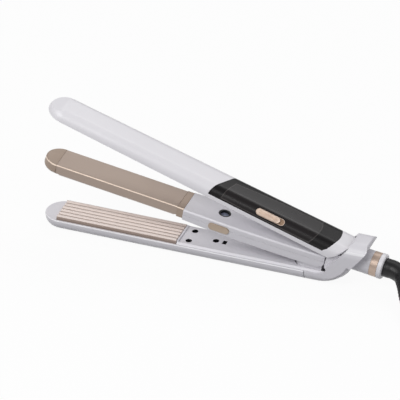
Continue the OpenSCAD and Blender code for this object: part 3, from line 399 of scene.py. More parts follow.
metalSettings = {
    "satinGold": {
        "light": tone(183, 165, 152), "dark": tone(178, 160, 147), "driftScale": 12,
        "along": 14, "across": 2400, "lineTone": 0.06, "lineDepth": 0.004,
        "polished": 0.34, "dull": 0.4, "sheenScale": 30, "metallic": 0.25,
    },
    "capGold": {
        "light": tone(175, 156, 141), "dark": tone(168, 149, 134), "driftScale": 40,
        "along": 60, "across": 900, "lineTone": 0.05, "lineDepth": 0.003,
        "polished": 0.34, "dull": 0.4, "sheenScale": 60, "metallic": 0.3,
    },
    # painted shade for the crimping plate's valleys and near side
    "crimpShade": {
        "light": tone(176, 158, 148), "dark": tone(164, 146, 136), "driftScale": 60,
        "along": 12, "across": 2600, "lineTone": 0.05, "lineDepth": 0.004,
        "polished": 0.4, "dull": 0.5, "sheenScale": 40, "metallic": 0.2,
    },
    # painted highlight: a pale gold for the middle arm's near upper metal edges
    "edgeGold": {
        "light": tone(255, 236, 218), "dark": tone(248, 226, 206), "driftScale": 40,
        "along": 60, "across": 900, "lineTone": 0.03, "lineDepth": 0.002,
        "polished": 0.3, "dull": 0.38, "sheenScale": 60, "metallic": 0.1,
    },
    "crimpMetal": {
        "light": tone(234, 221, 214), "dark": tone(228, 215, 208), "driftScale": 18,
        "along": 12, "across": 2600, "lineTone": 0.05, "lineDepth": 0.004,
        "polished": 0.34, "dull": 0.42, "sheenScale": 40, "metallic": 0.2,
    },
    "steel": {
        "light": tone(196, 198, 203), "dark": tone(168, 170, 176), "driftScale": 90,
        "along": 200, "across": 900, "lineTone": 0.2, "lineDepth": 0.004,
        "polished": 0.2, "dull": 0.34, "sheenScale": 120, "metallic": 1,
    },
    "darkSteel": {
        "light": tone(52, 52, 56), "dark": tone(36, 36, 40), "driftScale": 300,
        "along": 300, "across": 900, "lineTone": 0.2, "lineDepth": 0.004,
        "polished": 0.35, "dull": 0.5, "sheenScale": 120, "metallic": 0.6,
    },
    "brass": {
        "light": tone(214, 178, 110), "dark": tone(186, 148, 84), "driftScale": 200,
        "along": 200, "across": 1200, "lineTone": 0.15, "lineDepth": 0.004,
        "polished": 0.22, "dull": 0.36, "sheenScale": 120, "metallic": 1,
    },
    "switchGold": {
        "light": tone(240, 218, 200), "dark": tone(230, 206, 188), "driftScale": 200,
        "along": 90, "across": 900, "lineTone": 0.04, "lineDepth": 0.002,
        "polished": 0.34, "dull": 0.44, "sheenScale": 120, "metallic": 0.2,
    },
    "switchBronze": {
        "light": tone(168, 140, 116), "dark": tone(146, 120, 98), "driftScale": 300,
        "along": 90, "across": 900, "lineTone": 0.05, "lineDepth": 0.002,
        "polished": 0.3, "dull": 0.42, "sheenScale": 120, "metallic": 0.4,
    },
    "buttonGold": {
        "light": tone(190, 172, 154), "dark": tone(182, 164, 146), "driftScale": 120,
        "along": 60, "across": 1400, "lineTone": 0.08, "lineDepth": 0.003,
        "polished": 0.3, "dull": 0.4, "sheenScale": 90, "metallic": 0.45,
    },
    "trimGold": {
        "light": tone(206, 184, 168), "dark": tone(198, 176, 160), "driftScale": 90,
        "along": 1400, "across": 60, "lineTone": 0.06, "lineDepth": 0.003,
        "polished": 0.36, "dull": 0.42, "sheenScale": 60, "metallic": 0.5,
    },
}
metalPlaces = {
    "satinGold": middlePlace, "capGold": middlePlace, "edgeGold": middlePlace, "buttonGold": middlePlace,
    "switchGold": upperPlace, "switchBronze": upperPlace,
}
for name, settings in plasticSettings.items():
    mouldedFinish(name, settings)
for name, settings in metalSettings.items():
    brushedFinish(name, settings, metalPlaces.get(name, lowerPlace))

boardSettings = {
    "mask": tone(22, 84, 52), "trace": tone(44, 116, 74), "driftScale": 300,
    "pitch": 420, "traceLow": 0.06, "traceHigh": 0.12, "depth": 0.03, "roughness": 0.42,
}


def boardFinish(s):
    # solder mask over traces that run in short straight steps
    tree, shader, vector = newFinish("boardGreen")
    along = turnedVector(tree, vector, upperPlace)
    cells = addNode(tree, "TexVoronoi", distance="CHEBYCHEV", feature="DISTANCE_TO_EDGE", Scale=s["pitch"])
    edge = addSpread(tree, s["traceLow"], s["traceHigh"])
    drift = useGroup(tree, "toneDrift", vector, Light=s["trace"], Dark=s["mask"], Scale=s["driftScale"])
    mix = addNode(tree, "Mix", data_type="RGBA")
    mix.inputs[6].default_value = s["trace"]
    link = tree.links.new
    link(along, cells.inputs["Vector"])
    link(cells.outputs["Distance"], edge.inputs["Value"])
    link(edge.outputs["Result"], mix.inputs["Factor"])
    link(drift.outputs["Color"], mix.inputs[7])
    link(mix.outputs[2], shader.inputs["Base Color"])
    addBump(tree, edge.outputs["Result"], shader, s["depth"])
    shader.inputs["Roughness"].default_value = s["roughness"]


webbingSettings = {
    "light": tone(48, 48, 52), "dark": tone(24, 24, 27), "driftScale": 180,
    "thread": 1500, "crossShare": 0.8, "wander": 0.6, "shade": 0.5, "depth": 0.12,
    "roughness": 0.72, "sheen": 0.3,
}


def webbingFinish(s):
    # woven band: two crossing sets of fine threads
    tree, shader, vector = newFinish("blackWebbing")
    across = addNode(
        tree, "TexWave", bands_direction="X", Scale=s["thread"], Distortion=s["wander"],
    )
    around = addNode(
        tree, "TexWave", bands_direction="Y", Scale=s["thread"] * s["crossShare"], Distortion=s["wander"],
    )
    weave = addNode(tree, "Math", operation="MULTIPLY")
    drift = useGroup(tree, "toneDrift", vector, Light=s["light"], Dark=s["dark"], Scale=s["driftScale"])
    shade = addNode(tree, "Mix", data_type="RGBA", blend_type="MULTIPLY")
    shade.inputs["Factor"].default_value = s["shade"]
    link = tree.links.new
    link(vector, across.inputs["Vector"])
    link(vector, around.inputs["Vector"])
    link(across.outputs["Fac"], weave.inputs[0])
    link(around.outputs["Fac"], weave.inputs[1])
    link(drift.outputs["Color"], shade.inputs[6])
    link(weave.outputs[0], shade.inputs[7])
    link(shade.outputs[2], shader.inputs["Base Color"])
    addBump(tree, weave.outputs[0], shader, s["depth"])
    shader.inputs["Roughness"].default_value = s["roughness"]
    shader.inputs["Sheen Weight"].default_value = s["sheen"]


boardFinish(boardSettings)
webbingFinish(webbingSettings)
print("finishes made:", len(finishes))

# every node of the frame gets its slot's finish, also those inside the arms
slotFinish = {
    "white_plastic": "whiteShell", "gold_metal": "satinGold", "crimp_metal": "crimpMetal",
    "gloss_black": "glossBlack", "pale_gold_plastic": "switchGold", "gold_trim": "trimGold",
    "cord_rubber": "cordRubber", "grey_rubber": "socketGrey", "dark_plastic": "satinBlack",
    "spring_steel": "steel", "plated_pin": "steel", "brass": "brass",
    "heater_ceramic": "creamCeramic", "lead_sleeve": "redSilicone",
    "board_green": "boardGreen", "lamp_red": "ledRed",
}
nodeFinish = {"middle_screws": "darkSteel", "upper_screws": "darkSteel"}
for name, node in nodes.items():
    finish = nodeFinish.get(name, slotFinish[slots[name]])
    node.data.materials.clear()
    node.data.materials.append(finishes[finish])
print("nodes finished")

# the cord
cordSettings = {
    "diameter": 6,
    "exit": (144.484, 0, 19.169),
    "exitTilt": 8.3,
    "exitRun": 3,  # straight out of the gland
    # inside the strain relief, from there to the hank, and from the hank to the plug
    "relief": [(153, -0.3, 18), (160.5, -4, 16.5), (166, -12.7, 14), (171, -24, 11), (176, -34, 8.3)],
    "lead": [
        (176, -34, 8.3), (179, -40, 6.8), (183.5, -45.5, 5.2), (190, -49.6, 4.1),
        (199, -52, 3.8), (209, -52.5, 3.8), (216, -52.5, 3.8), (222, -52.5, 3.8),
    ],
    "tail": [
        (234, -50.6, 10.4), (240, -50.6, 10.6), (249, -49.8, 12.4), (259, -47, 15.4),
        (269, -42.3, 17.8), (278, -36.2, 19), (286, -29.8, 19.8), (294, -24, 20.2),
        (302, -20.6, 20.4), (309, -19.3, 20.4), (316, -19.3, 20.4),
    ],
    "hankRun": 112,
    "hankLoops": 2,
    "foldRadius": 18,
    "foldStep": 7.6,
    "waist": 0.14,  # how far the band draws the runs together
    "layerHeight": 6.6,
    "layerClimb": 0.25,  # share of a loop in which the cord climbs to its second layer
    "loopSteps": 64,
    "pathSteps": 4,
    "tubeDetail": 5,
}


def smoothPath(points, steps):
    # the same curve through points as in the part's source
    points = [Vector(p) for p in points]
    last = len(points) - 1
    path = []
    for i in range(last):
        a, b, c, d = (points[min(max(i + k, 0), last)] for k in (-1, 0, 1, 2))
        for j in range(steps):
            t = j / steps
            path.append(0.5 * (
                2 * b + (c - a) * t + (2 * a - 5 * b + 4 * c - d) * t * t
                + (3 * b - a - 3 * c + d) * t ** 3
            ))
    return path + [points[-1]]


def hankPoint(s, u):
    # u counts loops: a near run, a fold, a far run and a fold back
    start = Vector(s["lead"][-1])
    outer = s["foldRadius"] + s["hankLoops"] * s["foldStep"]
    middle = start.y + outer
    x0 = start.x + s["diameter"]
    second = u - s["hankLoops"]  # loops into the second layer, which lies on the first
    inward = s["hankLoops"] - u if second < 0 else max(second - s["layerClimb"], 0)
    r = s["foldRadius"] + s["foldStep"] * inward
    z = start.z + s["layerHeight"] * min(max(second / s["layerClimb"], 0), 1)
    part, share = divmod((u % 1) * 4, 1)
    drawn = 1 - s["waist"] * math.sin(math.pi * share) ** 2
    if part == 0:
        return Vector((x0 + s["hankRun"] * share, middle - r * drawn, z))
    if part == 1:
        a = math.radians(-90 + 180 * share)
        return Vector((x0 + s["hankRun"] + r * math.cos(a), middle + r * math.sin(a), z))
    if part == 2:
        return Vector((x0 + s["hankRun"] * (1 - share), middle + r * drawn, z))
    a = math.radians(90 + 180 * share)
    return Vector((x0 + r * math.cos(a), middle + r * math.sin(a), z))


def reliefRoute(s, steps):
    tilt = math.radians(s["exitTilt"])
    out = Vector((math.cos(tilt), 0, -math.sin(tilt)))
    straight = [Vector(s["exit"]) + out * s["exitRun"] * share for share in (0, 0.5, 1)]
    return smoothPath(straight + s["relief"], steps)


def cordRoute(s):
    loops = 2 * s["hankLoops"]
    steps = s["loopSteps"]
    justBefore = 0.0001  # keeps the last point in the last loop
    hank = [hankPoint(s, k / steps) for k in range(steps * loops)]
    hank += [hankPoint(s, loops - justBefore)]
    path = reliefRoute(s, s["pathSteps"])[:-1] + smoothPath(s["lead"], s["pathSteps"])
    path += hank + smoothPath(s["tail"], s["pathSteps"])
    return [p * mm for p in path]


route = cordRoute(cordSettings)


def roundTube(name, path, radii, depth, detail):
    # a curve of one open spline, as thick at each point as radii says
    curve = bpy.data.curves.new(name, "CURVE")
    curve.dimensions = "3D"
    curve.twist_mode = "MINIMUM"
    spline = curve.splines.new("POLY")
    spline.points.add(len(path) - 1)
    for point, place, radius in zip(spline.points, path, radii):
        point.co = (*place, 1)
        point.radius = radius
    curve.bevel_depth = depth
    curve.bevel_resolution = detail
    curve.use_fill_caps = True
    piece = bpy.data.objects.new(name, curve)
    bpy.context.scene.collection.objects.link(piece)
    return piece


# helpers for the rigid pieces

meshSettings = {
    "mergeDistance": 0.00001,
    "flatAngle": 0.6,
    "smoothAngle": 35,
}


def selectOnly(piece):
    bpy.ops.object.select_all(action="DESELECT")
    piece.select_set(True)
    bpy.context.view_layer.objects.active = piece


def applyModifier(piece, kind, **values):
    selectOnly(piece)
    modifier = piece.modifiers.new("step", kind)
    for key, value in values.items():
        setattr(modifier, key, value)
    bpy.ops.object.modifier_apply(modifier=modifier.name)


def softenEdges(piece, width, rounds=2, corner=30, clamp=True):
    if width:
        applyModifier(
            piece, "BEVEL", width=width * mm, segments=rounds, limit_method="ANGLE",
            angle_limit=math.radians(corner), use_clamp_overlap=clamp,
        )
    selectOnly(piece)
    bpy.ops.object.shade_smooth_by_angle(angle=math.radians(meshSettings["smoothAngle"]))
    applyModifier(piece, "WEIGHTED_NORMAL", keep_sharp=True)


def applyPlace(piece, place):
    selectOnly(piece)
    piece.matrix_world = place
    bpy.ops.object.transform_apply(location=True, rotation=True, scale=True)


def movedCopy(piece, offset):
    # a copy with its own mesh
    copy = piece.copy()
    copy.data = piece.data.copy()
    bpy.context.scene.collection.objects.link(copy)
    applyPlace(copy, Matrix.Translation(offset))
    return copy


def mergedCopy(node, name):
    # the node's shape without doubled points and needless edges, ready for its own finish
    mesh = nodes[node].data.copy()
    mesh.materials.clear()
    piece = bpy.data.objects.new(name, mesh)
    bpy.context.scene.collection.objects.link(piece)
    selectOnly(piece)
    bpy.ops.object.mode_set(mode="EDIT")
    bpy.ops.mesh.select_all(action="SELECT")
    bpy.ops.mesh.remove_doubles(threshold=meshSettings["mergeDistance"])
    bpy.ops.mesh.dissolve_limited(angle_limit=math.radians(meshSettings["flatAngle"]))
    bpy.ops.object.mode_set(mode="OBJECT")
    return piece


def settle(piece, node, finish):
    # the piece stands for the node: it takes the finish and the node's body, and the node is hidden
    piece.data.materials.append(finishes[finish])
    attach(piece, bodies[node])
    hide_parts(node)


def carve(piece, cuts):
    # cuts are (place, direction) planes: what lies beyond each is cut away
    selectOnly(piece)
    bpy.ops.object.mode_set(mode="EDIT")
    for place, beyond in cuts:
        bpy.ops.mesh.select_all(action="SELECT")
        bpy.ops.mesh.bisect(plane_co=place, plane_no=beyond, clear_outer=True, use_fill=True)
    bpy.ops.object.mode_set(mode="OBJECT")


def addBlock(name, low, high):
    low, high = Vector(low) * mm, Vector(high) * mm
    bpy.ops.object.select_all(action="DESELECT")
    bpy.ops.mesh.primitive_cube_add(size=1, location=(low + high) / 2)
    block = bpy.context.object
    block.name = name
    block.scale = high - low
    bpy.ops.object.transform_apply(location=True, rotation=True, scale=True)
    return block


def startPicking(piece, kind):
    selectOnly(piece)
    bpy.ops.object.mode_set(mode="EDIT")
    bpy.ops.mesh.select_mode(type=kind)
    bpy.ops.mesh.select_all(action="DESELECT")
    bpy.ops.object.mode_set(mode="OBJECT")


def pickEdges(piece, test):
    # selects edges by their two ends, in edit mode afterwards
    startPicking(piece, "EDGE")
    places = [v.co / mm for v in piece.data.vertices]
    for edge in piece.data.edges:
        edge.select = test(places[edge.vertices[0]], places[edge.vertices[1]])
    bpy.ops.object.mode_set(mode="EDIT")


def paintFaces(piece, finish, test):
    # gives the faces whose middle and normal pass the test another finish
    startPicking(piece, "FACE")
    for face in piece.data.polygons:
        face.select = test(face.center / mm, face.normal)
    bpy.ops.object.mode_set(mode="EDIT")
    piece.data.materials.append(finishes[finish])
    piece.active_material_index = len(piece.data.materials) - 1
    bpy.ops.object.material_slot_assign()
    bpy.ops.object.mode_set(mode="OBJECT")


def joinTo(piece, others):
    bpy.ops.object.select_all(action="DESELECT")
    for other in others:
        other.select_set(True)
    piece.select_set(True)
    bpy.context.view_layer.objects.active = piece
    bpy.ops.object.join()


# pieces that follow their node and get softened edges
softSettings = {
    "lower_shell": {"name": "lowerArmShell", "edge": 0.45, "finish": "whiteShell", "seam": 80.5},
    "rear_deck": {"name": "lowerArmDeck", "edge": 0.22, "finish": "whiteShell"},
    "lower_crimp_plate": {"name": "lowerCrimpPlate", "edge": 0.12, "finish": "crimpMetal"},
    "middle_crimp_plate": {"name": "middleCrimpPlate", "edge": 0.12, "finish": "crimpMetal"},
    "middle_smooth_plate": {"name": "middleGoldPlate", "edge": 0.26, "finish": "satinGold"},
    "middle_tip_cap": {"name": "middleTipCap", "edge": 0.3, "finish": "capGold"},
    "middle_end_frame": {"name": "middleEndFrame", "edge": 0.3, "finish": "capGold"},
    "middle_top_shell": {"name": "middleTopShell", "edge": 0.3, "finish": "whiteShell"},
    "middle_base": {"name": "middleUnderShell", "edge": 0.3, "finish": "whiteShell"},
    "socket_ring": {"name": "lockSocketRing", "edge": 0.25, "finish": "satinBlack"},
    "socket_pad": {"name": "lockSocketPad", "edge": 0.1, "finish": "socketGrey"},
    "mode_button": {"name": "modeButton", "edge": 0.15, "finish": "buttonGold"},
    "upper_deck": {"name": "upperArmDeck", "edge": 0.25, "finish": "whiteShell"},
    "upper_smooth_plate": {"name": "upperGoldPlate", "edge": 0.12, "finish": "satinGold"},
    "yoke": {"name": "yokeShell", "edge": 0.5, "finish": "whiteShell"},
    "trim_ring": {"name": "glandTrimRing", "edge": 0.25, "finish": "trimGold"},
    # the end ring takes the lighter white, painted light
    "end_ring": {"name": "glandEndRing", "edge": 0.35, "finish": "brightShell"},
    "switch_frame": {"name": "switchFrame", "edge": 0.12, "finish": "switchGold"},
    "deck_screws": {"name": "deckScrewHeads", "edge": 0.1, "finish": "darkSteel"},
}


def makeSoftCopies(settings):
    copies = {}
    for node, s in settings.items():
        piece = mergedCopy(node, s["name"])
        if "seam" in s:  # set back a little, so that the seam before the heel shows
            carve(piece, [(Vector((s["seam"], 0, 0)) * mm, Vector((1, 0, 0)))])
        softenEdges(piece, s["edge"])
        settle(piece, node, s["finish"])
        copies[node] = piece
        print(s["name"], len(piece.data.polygons), "faces")
    return copies


copies = makeSoftCopies(softSettings)

# the upper arm's outer shell
noseSettings = {"name": "upperArmShell", "edge": 0.35, "facetStart": -254, "facetDrop": 20, "top": 12.75}


def makeUpperShell(s):
    # the nose is planed to a slanted facet on its upper side
    piece = mergedCopy("upper_shell", s["name"])
    slant = math.radians(s["facetDrop"])
    place = upperPlace @ (Vector((s["facetStart"], 0, s["top"])) * mm)
    beyond = upperPlace.to_3x3() @ Vector((-math.sin(slant), 0, math.cos(slant)))
    carve(piece, [(place, beyond)])
    softenEdges(piece, s["edge"])
    # the lighter white copy is painted light on the upper arm
    settle(piece, "upper_shell", "brightShell")


# the gloss panel and the lens in it
panelSettings = {
    "name": "glossPanel",
    "edge": 0.2,
    # corners of the lens seen from above, from the near front one round the far side
    "outline": [
        (-109.3, -18), (-103.6, 3.4), (-102.2, 5.2), (-99.8, 6.2), (-60, 6.2),
        (-31.5, 8.6), (-29.4, 8.2), (-28.2, 6.4), (-27.2, 3), (-26.6, -1),
        (-26.6, -6), (-27.2, -10), (-28.5, -13.2), (-31, -15.4), (-35, -18),
    ],
    # height of its lower border on the near shoulder, at lowFrom and lowRun further back
    "low": 10.2,
    "lowRear": 10.5,
    "lowFrom": -110,
    "lowRun": 100,
    # the block that is cut down to the lens
    "blockNear": (-125, -19),
    "blockFar": (-20, 12),
    "blockTop": 24,
    "blockBelow": 3,
    # the opening for the switch frame
    "slotLength": 26,
    "slotWidth": 6.3,
    "slotLow": 2,
    "slotHigh": 14,
    "lensCorner": 40,
    # the lens, and a thin border round it in a lighter colour, a painted highlight along the lens edge
    "lensParts": [
        {"name": "panelLens", "grow": 0, "proud": 0.45, "edge": 0.2, "finish": "smokedLens"},
        {"name": "lensBorder", "grow": 0.75, "proud": 0.3, "edge": 0.1, "finish": "lensGlint"},
    ],
}
switchSettings = {
    "middle": (-66.5, -6.5, 7.088),
    "slope": 1.0,
    "roll": 45,
    "length": 20.7,
    "width": 4.5,
    "low": 8.1,
    "high": 9.62,
    "edge": 0.35,
    "knurlPitch": 1.05,
    "knurlHeight": 0.42,
    "knurlRows": 3,
    "knurlColumns": 16,
    "knurlSink": 0.01,
    "footLength": 8,
    "footWidth": 1.3,
    "footLow": 6,
    "footOverlap": 0.2,
}


def switchPlace(s, along=0.0):
    # the switch's own axes: X along its slot, Z out of the shoulder
    slope = Matrix.Rotation(math.radians(-s["slope"]), 4, "Y")
    turn = slope @ Matrix.Rotation(math.radians(s["roll"]), 4, "X")
    middle = upperPlace @ Matrix.Translation(Vector(s["middle"]) * mm)
    return middle @ turn @ Matrix.Translation((along, 0, 0))


def addStadium(name, length, width, low, high, rounds=8):
    # a bar with round ends, lying along X
    block = addBlock(name, (-length / 2, -width / 2, low), (length / 2, width / 2, high))
    endRadius = width / 2 * mm * 0.999  # just under half the width, so that the corners don't meet
    pickEdges(block, lambda a, b: abs(a.z - b.z) > 0.1)  # the upright ones
    bpy.ops.mesh.bevel(offset=endRadius, segments=rounds, affect="EDGES")
    bpy.ops.object.mode_set(mode="OBJECT")
    return block


def makeLensPart(s, switch, lens):
    # the part of the panel inside the lens outline, raised above the panel
    part = mergedCopy("black_panel", lens["name"])
    near = (*s["blockNear"], s["low"] - s["blockBelow"])
    far = (*s["blockFar"], s["blockTop"])
    region = addBlock("lensRegion", near, far)
    points = [Vector((x, y, 0)) * mm for x, y in s["outline"]]
    cuts = []
    for a, b in zip(points, points[1:]):
        side = (b - a).normalized()
        out = Vector((-side.y, side.x, 0))
        cuts.append((a + out * lens["grow"] * mm, out))
    rise = (s["lowRear"] - s["low"]) / s["lowRun"]
    cuts.append((Vector((s["lowFrom"], 0, s["low"] - lens["grow"])) * mm, Vector((rise, 0, -1))))
    carve(region, cuts)
    region.matrix_world = upperPlace
    applyModifier(part, "BOOLEAN", object=region, operation="INTERSECT", solver="EXACT")
    selectOnly(part)
    bpy.ops.object.mode_set(mode="EDIT")
    bpy.ops.mesh.select_all(action="SELECT")
    bpy.ops.transform.shrink_fatten(value=lens["proud"] * mm)
    bpy.ops.object.mode_set(mode="OBJECT")
    slot = addStadium("slotCutter", s["slotLength"], s["slotWidth"], s["slotLow"], s["slotHigh"])
    slot.matrix_world = switchPlace(switch)
    applyModifier(part, "BOOLEAN", object=slot, operation="DIFFERENCE", solver="EXACT")
    bpy.data.objects.remove(region)
    bpy.data.objects.remove(slot)
    softenEdges(part, lens["edge"], corner=s["lensCorner"])
    part.data.materials.append(finishes[lens["finish"]])
    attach(part, "upper_arm")


def makePanel(s, switch):
    panel = mergedCopy("black_panel", s["name"])
    softenEdges(panel, s["edge"])
    settle(panel, "black_panel", "glossBlack")
    for lens in s["lensParts"]:
        makeLensPart(s, switch, lens)


def makeSwitchKnob(s):
    # a smooth bar with a field of small pyramids on top
    knob = addStadium("switchKnob", s["length"], s["width"], s["low"], s["high"])
    softenEdges(knob, s["edge"], rounds=3, corner=50)
    long, wide = s["knurlColumns"] * s["knurlPitch"], s["knurlRows"] * s["knurlPitch"]
    bpy.ops.object.select_all(action="DESELECT")
    bpy.ops.mesh.primitive_grid_add(
        x_subdivisions=s["knurlColumns"], y_subdivisions=s["knurlRows"], size=1,
        location=(0, 0, (s["high"] - s["knurlSink"]) * mm),
    )
    field = bpy.context.object
    field.scale = (long * mm, wide * mm, 1)
    bpy.ops.object.transform_apply(location=True, rotation=True, scale=True)
    bpy.ops.object.mode_set(mode="EDIT")
    bpy.ops.mesh.select_all(action="SELECT")
    bpy.ops.mesh.poke(offset=s["knurlHeight"] * mm)
    bpy.ops.object.mode_set(mode="OBJECT")
    joinTo(knob, [field])
    x, y = s["footLength"] / 2, s["footWidth"] / 2
    foot = addBlock("knobFoot", (-x, -y, s["footLow"]), (x, y, s["low"] + s["footOverlap"]))
    joinTo(knob, [foot])
    travel = joints["power_slide"]["range_m"][1]
    applyPlace(knob, switchPlace(s, -travel / 2))  # at the front end of its travel
    settle(knob, "power_switch", "switchGold")


# the strain relief
reliefSettings = {
    "name": "strainReliefSleeve",
    "thick": 7.75,
    "thin": 4.6,
    "taper": 1.7,
    "smoothShare": 0.44,
    "ribPitch": 3.5,
    "ribDepth": 1.5,
    "ribFade": 0.04,  # share of the length over which the ribs deepen
    "ribSharpness": 1.6,
    # they fade out over ribFadeEnd and stop ribEnd before the thin end
    "ribEnd": 1.2,
    "ribFadeEnd": 0.8,
    # how much the two ends are rounded, and over what length
    "mouthRound": (0.5, 0.7),
    "endRound": (0.7, 0.8),
    "steps": 40,
    "tubeDetail": 8,
}


def clamped(value):
    return min(max(value, 0), 1)


def reliefRadius(s, length, total):
    # smooth and thick at the gland, then ribs down to the thin end
    share = length / total
    radius = s["thick"] + (s["thin"] - s["thick"]) * share ** s["taper"]
    ribbed = clamped((share - s["smoothShare"]) / s["ribFade"])
    ribbed *= clamped((total - length - s["ribEnd"]) / s["ribFadeEnd"])
    wave = 0.5 - 0.5 * math.cos(2 * math.pi * length / s["ribPitch"])
    radius -= ribbed * s["ribDepth"] * wave ** s["ribSharpness"]
    for (depth, reach), away in ((s["mouthRound"], length), (s["endRound"], total - length)):
        radius -= depth * max(0, 1 - away / reach) ** 2
    return radius


def makeRelief(s, cord):
    line = reliefRoute(cord, s["steps"])
    lengths = [0.0]
    for a, b in zip(line, line[1:]):
        lengths.append(lengths[-1] + (b - a).length)
    total = lengths[-1]
    path = [place * mm for place in line[::2] + [line[-1]]]
    radii = [reliefRadius(s, length, total) * mm for length in lengths[::2] + [total]]
    selectOnly(roundTube(s["name"], path, radii, 1.0, s["tubeDetail"]))
    bpy.ops.object.convert(target="MESH")
    piece = bpy.context.object
    softenEdges(piece, 0)
    settle(piece, "strain_relief", "cordRubber")
    return piece


# the band round the hank, and the plug
tieSettings = {"name": "hankBand", "edge": 0.2}
plugSettings = {
    "name": "plugBody",
    "edge": 0.9,
    "pinName": "plugPins",
    "pinEdge": 0.7,
    # grip ribs across both flat sides
    "ribs": 4,
    "ribPitch": 2.6,
    "ribFrom": 14.4,
    "ribLength": 1.3,
    "ribWidth": 8.8,
    "ribHeight": 0.9,
    "ribSide": 6.9,
    "ribEdge": 0.35,
}


def makeTie(s):
    piece = mergedCopy("cord_tie", s["name"])
    softenEdges(piece, s["edge"])
    settle(piece, "cord_tie", "blackWebbing")
    return piece


def makePlug(s, cord):
    plug = mergedCopy("plug_body", s["name"])
    softenEdges(plug, s["edge"], rounds=3, corner=50, clamp=False)
    wide, high = s["ribWidth"] / 2, s["ribHeight"] / 2
    rib = addBlock("plugRib", (0, -wide, -high), (s["ribLength"], wide, high))
    softenEdges(rib, s["ribEdge"], rounds=3)
    ribs = []
    for side in (-1, 1):
        for i in range(s["ribs"]):
            offset = Vector((s["ribFrom"] + i * s["ribPitch"], 0, side * s["ribSide"]))
            ribs.append(movedCopy(rib, (Vector(cord["tail"][-1]) + offset) * mm))
    bpy.data.objects.remove(rib)
    joinTo(plug, ribs)
    settle(plug, "plug_body", "cordRubber")
    pins = mergedCopy("plug_pins", s["pinName"])
    softenEdges(pins, s["pinEdge"], rounds=4, corner=50)
    settle(pins, "plug_pins", "steel")
    return plug, pins


def makeCord(s):
    cord = roundTube("mainsCord", route, [1.0] * len(route), s["diameter"] / 2 * mm, s["tubeDetail"])
    cord.data.materials.append(finishes["cordRubber"])
    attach(cord, "cord")
    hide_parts("cord_lead", "cord_hank", "cord_tail")


makeUpperShell(noseSettings)
makePanel(panelSettings, switchSettings)
makeSwitchKnob(switchSettings)
relief = makeRelief(reliefSettings, cordSettings)
band = makeTie(tieSettings)
plug, pins = makePlug(plugSettings, cordSettings)
makeCord(cordSettings)
print("pieces made")

# faces that are finished otherwise than their piece: painted highlights, painted shade and a darker slot
# floor
paintSettings = {
    "tilt": 0.3,  # how far a face leans to a side before it counts as an edge
    "steep": 0.8,
    # x, y and radius of the deck's screw holes and latch slot
    "deckHoles": [(-20.7, 7.4, 2.7), (-20.7, -7.4, 2.7), (0, 0, 2.7), (7.6, 0, 2.9)],
    "deckTop": 11.1,
    "rimLow": 9.2,
    "rimTilt": (0.3, 0.95),
    "yokeFrontTo": 124,
    "valleyDepth": 1.2,
    "slotFloor": 8.7,
    "highlightedNodes": ["middle_smooth_plate", "middle_tip_cap", "middle_end_frame"],
}


def paintDeckHoleShade(s):
    # painted shade: the walls of the screw holes and latch slot below the deck's top take the dark finish
    paintFaces(copies["rear_deck"], "satinBlack", lambda at, normal: at.z < s["deckTop"] and any(
        math.hypot(at.x - x, at.y - y) < r for x, y, r in s["deckHoles"]
    ))


def paintRimHighlights(s):
    # painted highlight: the lower arm's rim and the yoke's near edges get a near-white finish
    low, high = s["rimTilt"]
    paintFaces(copies["lower_shell"], "rimShine", lambda at, normal: (
        low < normal.z < high and at.z > s["rimLow"]
    ))
    paintFaces(copies["yoke"], "rimShine", lambda at, normal: (
        normal.y < -s["tilt"] and normal.z > s["tilt"] and at.x < s["yokeFrontTo"]
    ))


def paintCrimpPlate(s):
    # painted shade: the valleys and the near side of the lower crimping plate are darker than its ridges
    plate = copies["lower_crimp_plate"]
    valleys = max(v.co.z for v in plate.data.vertices) / mm - s["valleyDepth"]
    paintFaces(plate, "crimpShade", lambda at, normal: (
        (normal.z > s["tilt"] and at.z < valleys) or normal.y < -s["steep"]
    ))


def paintMiddleEdgeHighlights(s):
    # painted highlight: the near upper edges of the middle arm's metal get a paler gold
    turn = middlePlace.to_3x3().inverted()
    for node in s["highlightedNodes"]:
        paintFaces(copies[node], "edgeGold", lambda at, normal: (
            (turn @ normal).z > s["tilt"] and (turn @ normal).y < -s["tilt"]
        ))


def paintSlotFloor(s, switch):
    # faces of the switch frame lower than slotFloor in the switch's axes are finished darker, seen at the
    # free end of the slot
    back = switchPlace(switch).inverted()
    paintFaces(copies["switch_frame"], "switchBronze", lambda at, normal: (
        (back @ (at * mm)).z < s["slotFloor"] * mm
    ))


paintDeckHoleShade(paintSettings)
paintRimHighlights(paintSettings)
paintCrimpPlate(paintSettings)
paintMiddleEdgeHighlights(paintSettings)
paintSlotFloor(paintSettings, switchSettings)
print("faces painted")

# floor and light
floorSettings = {
    "size": 6, "lit": tone(140, 140, 144), "shown": (0.9, 0.9, 0.9, 1), "glow": (1, 1, 1, 1), "seen": 0.93,
}


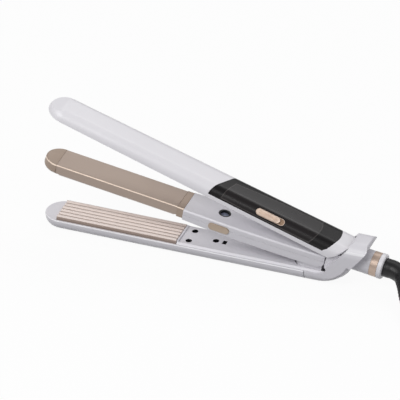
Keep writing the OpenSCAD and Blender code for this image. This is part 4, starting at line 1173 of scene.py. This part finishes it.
def makeFloor(s):
    # white to the camera and in reflections, with enough of the lit floor to keep the shadow
    bpy.ops.object.select_all(action="DESELECT")
    bpy.ops.mesh.primitive_plane_add(size=s["size"])
    floor = bpy.context.object
    floor.name = "floor"
    material = bpy.data.materials.new("studioFloor")
    material.use_nodes = True
    tree = material.node_tree
    tree.nodes.clear()
    link = tree.links.new
    out = addNode(tree, "OutputMaterial")
    lit = addNode(tree, "BsdfDiffuse", Color=s["lit"])
    shown = addNode(tree, "BsdfDiffuse", Color=s["shown"])
    glow = addNode(tree, "Emission", Color=s["glow"])
    seen = addNode(tree, "MixShader", Fac=s["seen"])
    path = addNode(tree, "LightPath")
    some = addNode(tree, "Math", operation="MAXIMUM")
    every = addNode(tree, "Math", operation="MAXIMUM")
    pick = addNode(tree, "MixShader")
    link(shown.outputs[0], seen.inputs[1])
    link(glow.outputs[0], seen.inputs[2])
    link(path.outputs["Is Camera Ray"], some.inputs[0])
    link(path.outputs["Is Glossy Ray"], some.inputs[1])
    link(some.outputs[0], every.inputs[0])
    link(path.outputs["Is Transmission Ray"], every.inputs[1])
    link(every.outputs[0], pick.inputs["Fac"])
    link(lit.outputs[0], pick.inputs[1])
    link(seen.outputs[0], pick.inputs[2])
    link(pick.outputs[0], out.inputs["Surface"])
    floor.data.materials.append(material)


lampSettings = {
    "keyLamp": {"place": (-0.55, -1.15, 1.3), "wide": 1.2, "high": 0.9, "power": 17},
    "fillLamp": {"place": (1.4, -0.6, 1.0), "wide": 1.0, "high": 1.0, "power": 2.2},
    "backLamp": {"place": (0.28, 1.12, 1.4), "wide": 1.7, "high": 0.7, "power": 7},
}
lampAim = (0, 0, 0.03)
worldSettings = {"color": (0.98, 0.98, 1, 1), "strength": 0.34}


def addLamp(name, s):
    bpy.ops.object.light_add(type="AREA", location=s["place"])
    lamp = bpy.context.object
    lamp.name = name
    lamp.data.shape = "RECTANGLE"
    lamp.data.size = s["wide"]
    lamp.data.size_y = s["high"]
    lamp.data.energy = s["power"]
    aim = Vector(lampAim) - Vector(s["place"])
    lamp.rotation_euler = aim.to_track_quat("-Z", "Y").to_euler()


def makeWorld(s):
    world = bpy.data.worlds.new("studio")
    bpy.context.scene.world = world
    world.use_nodes = True
    background = world.node_tree.nodes["Background"]
    background.inputs["Color"].default_value = s["color"]
    background.inputs["Strength"].default_value = s["strength"]


makeFloor(floorSettings)
for name, settings in lampSettings.items():
    addLamp(name, settings)
makeWorld(worldSettings)
bpy.context.scene.view_settings.view_transform = "Standard"
print("floor and light set")
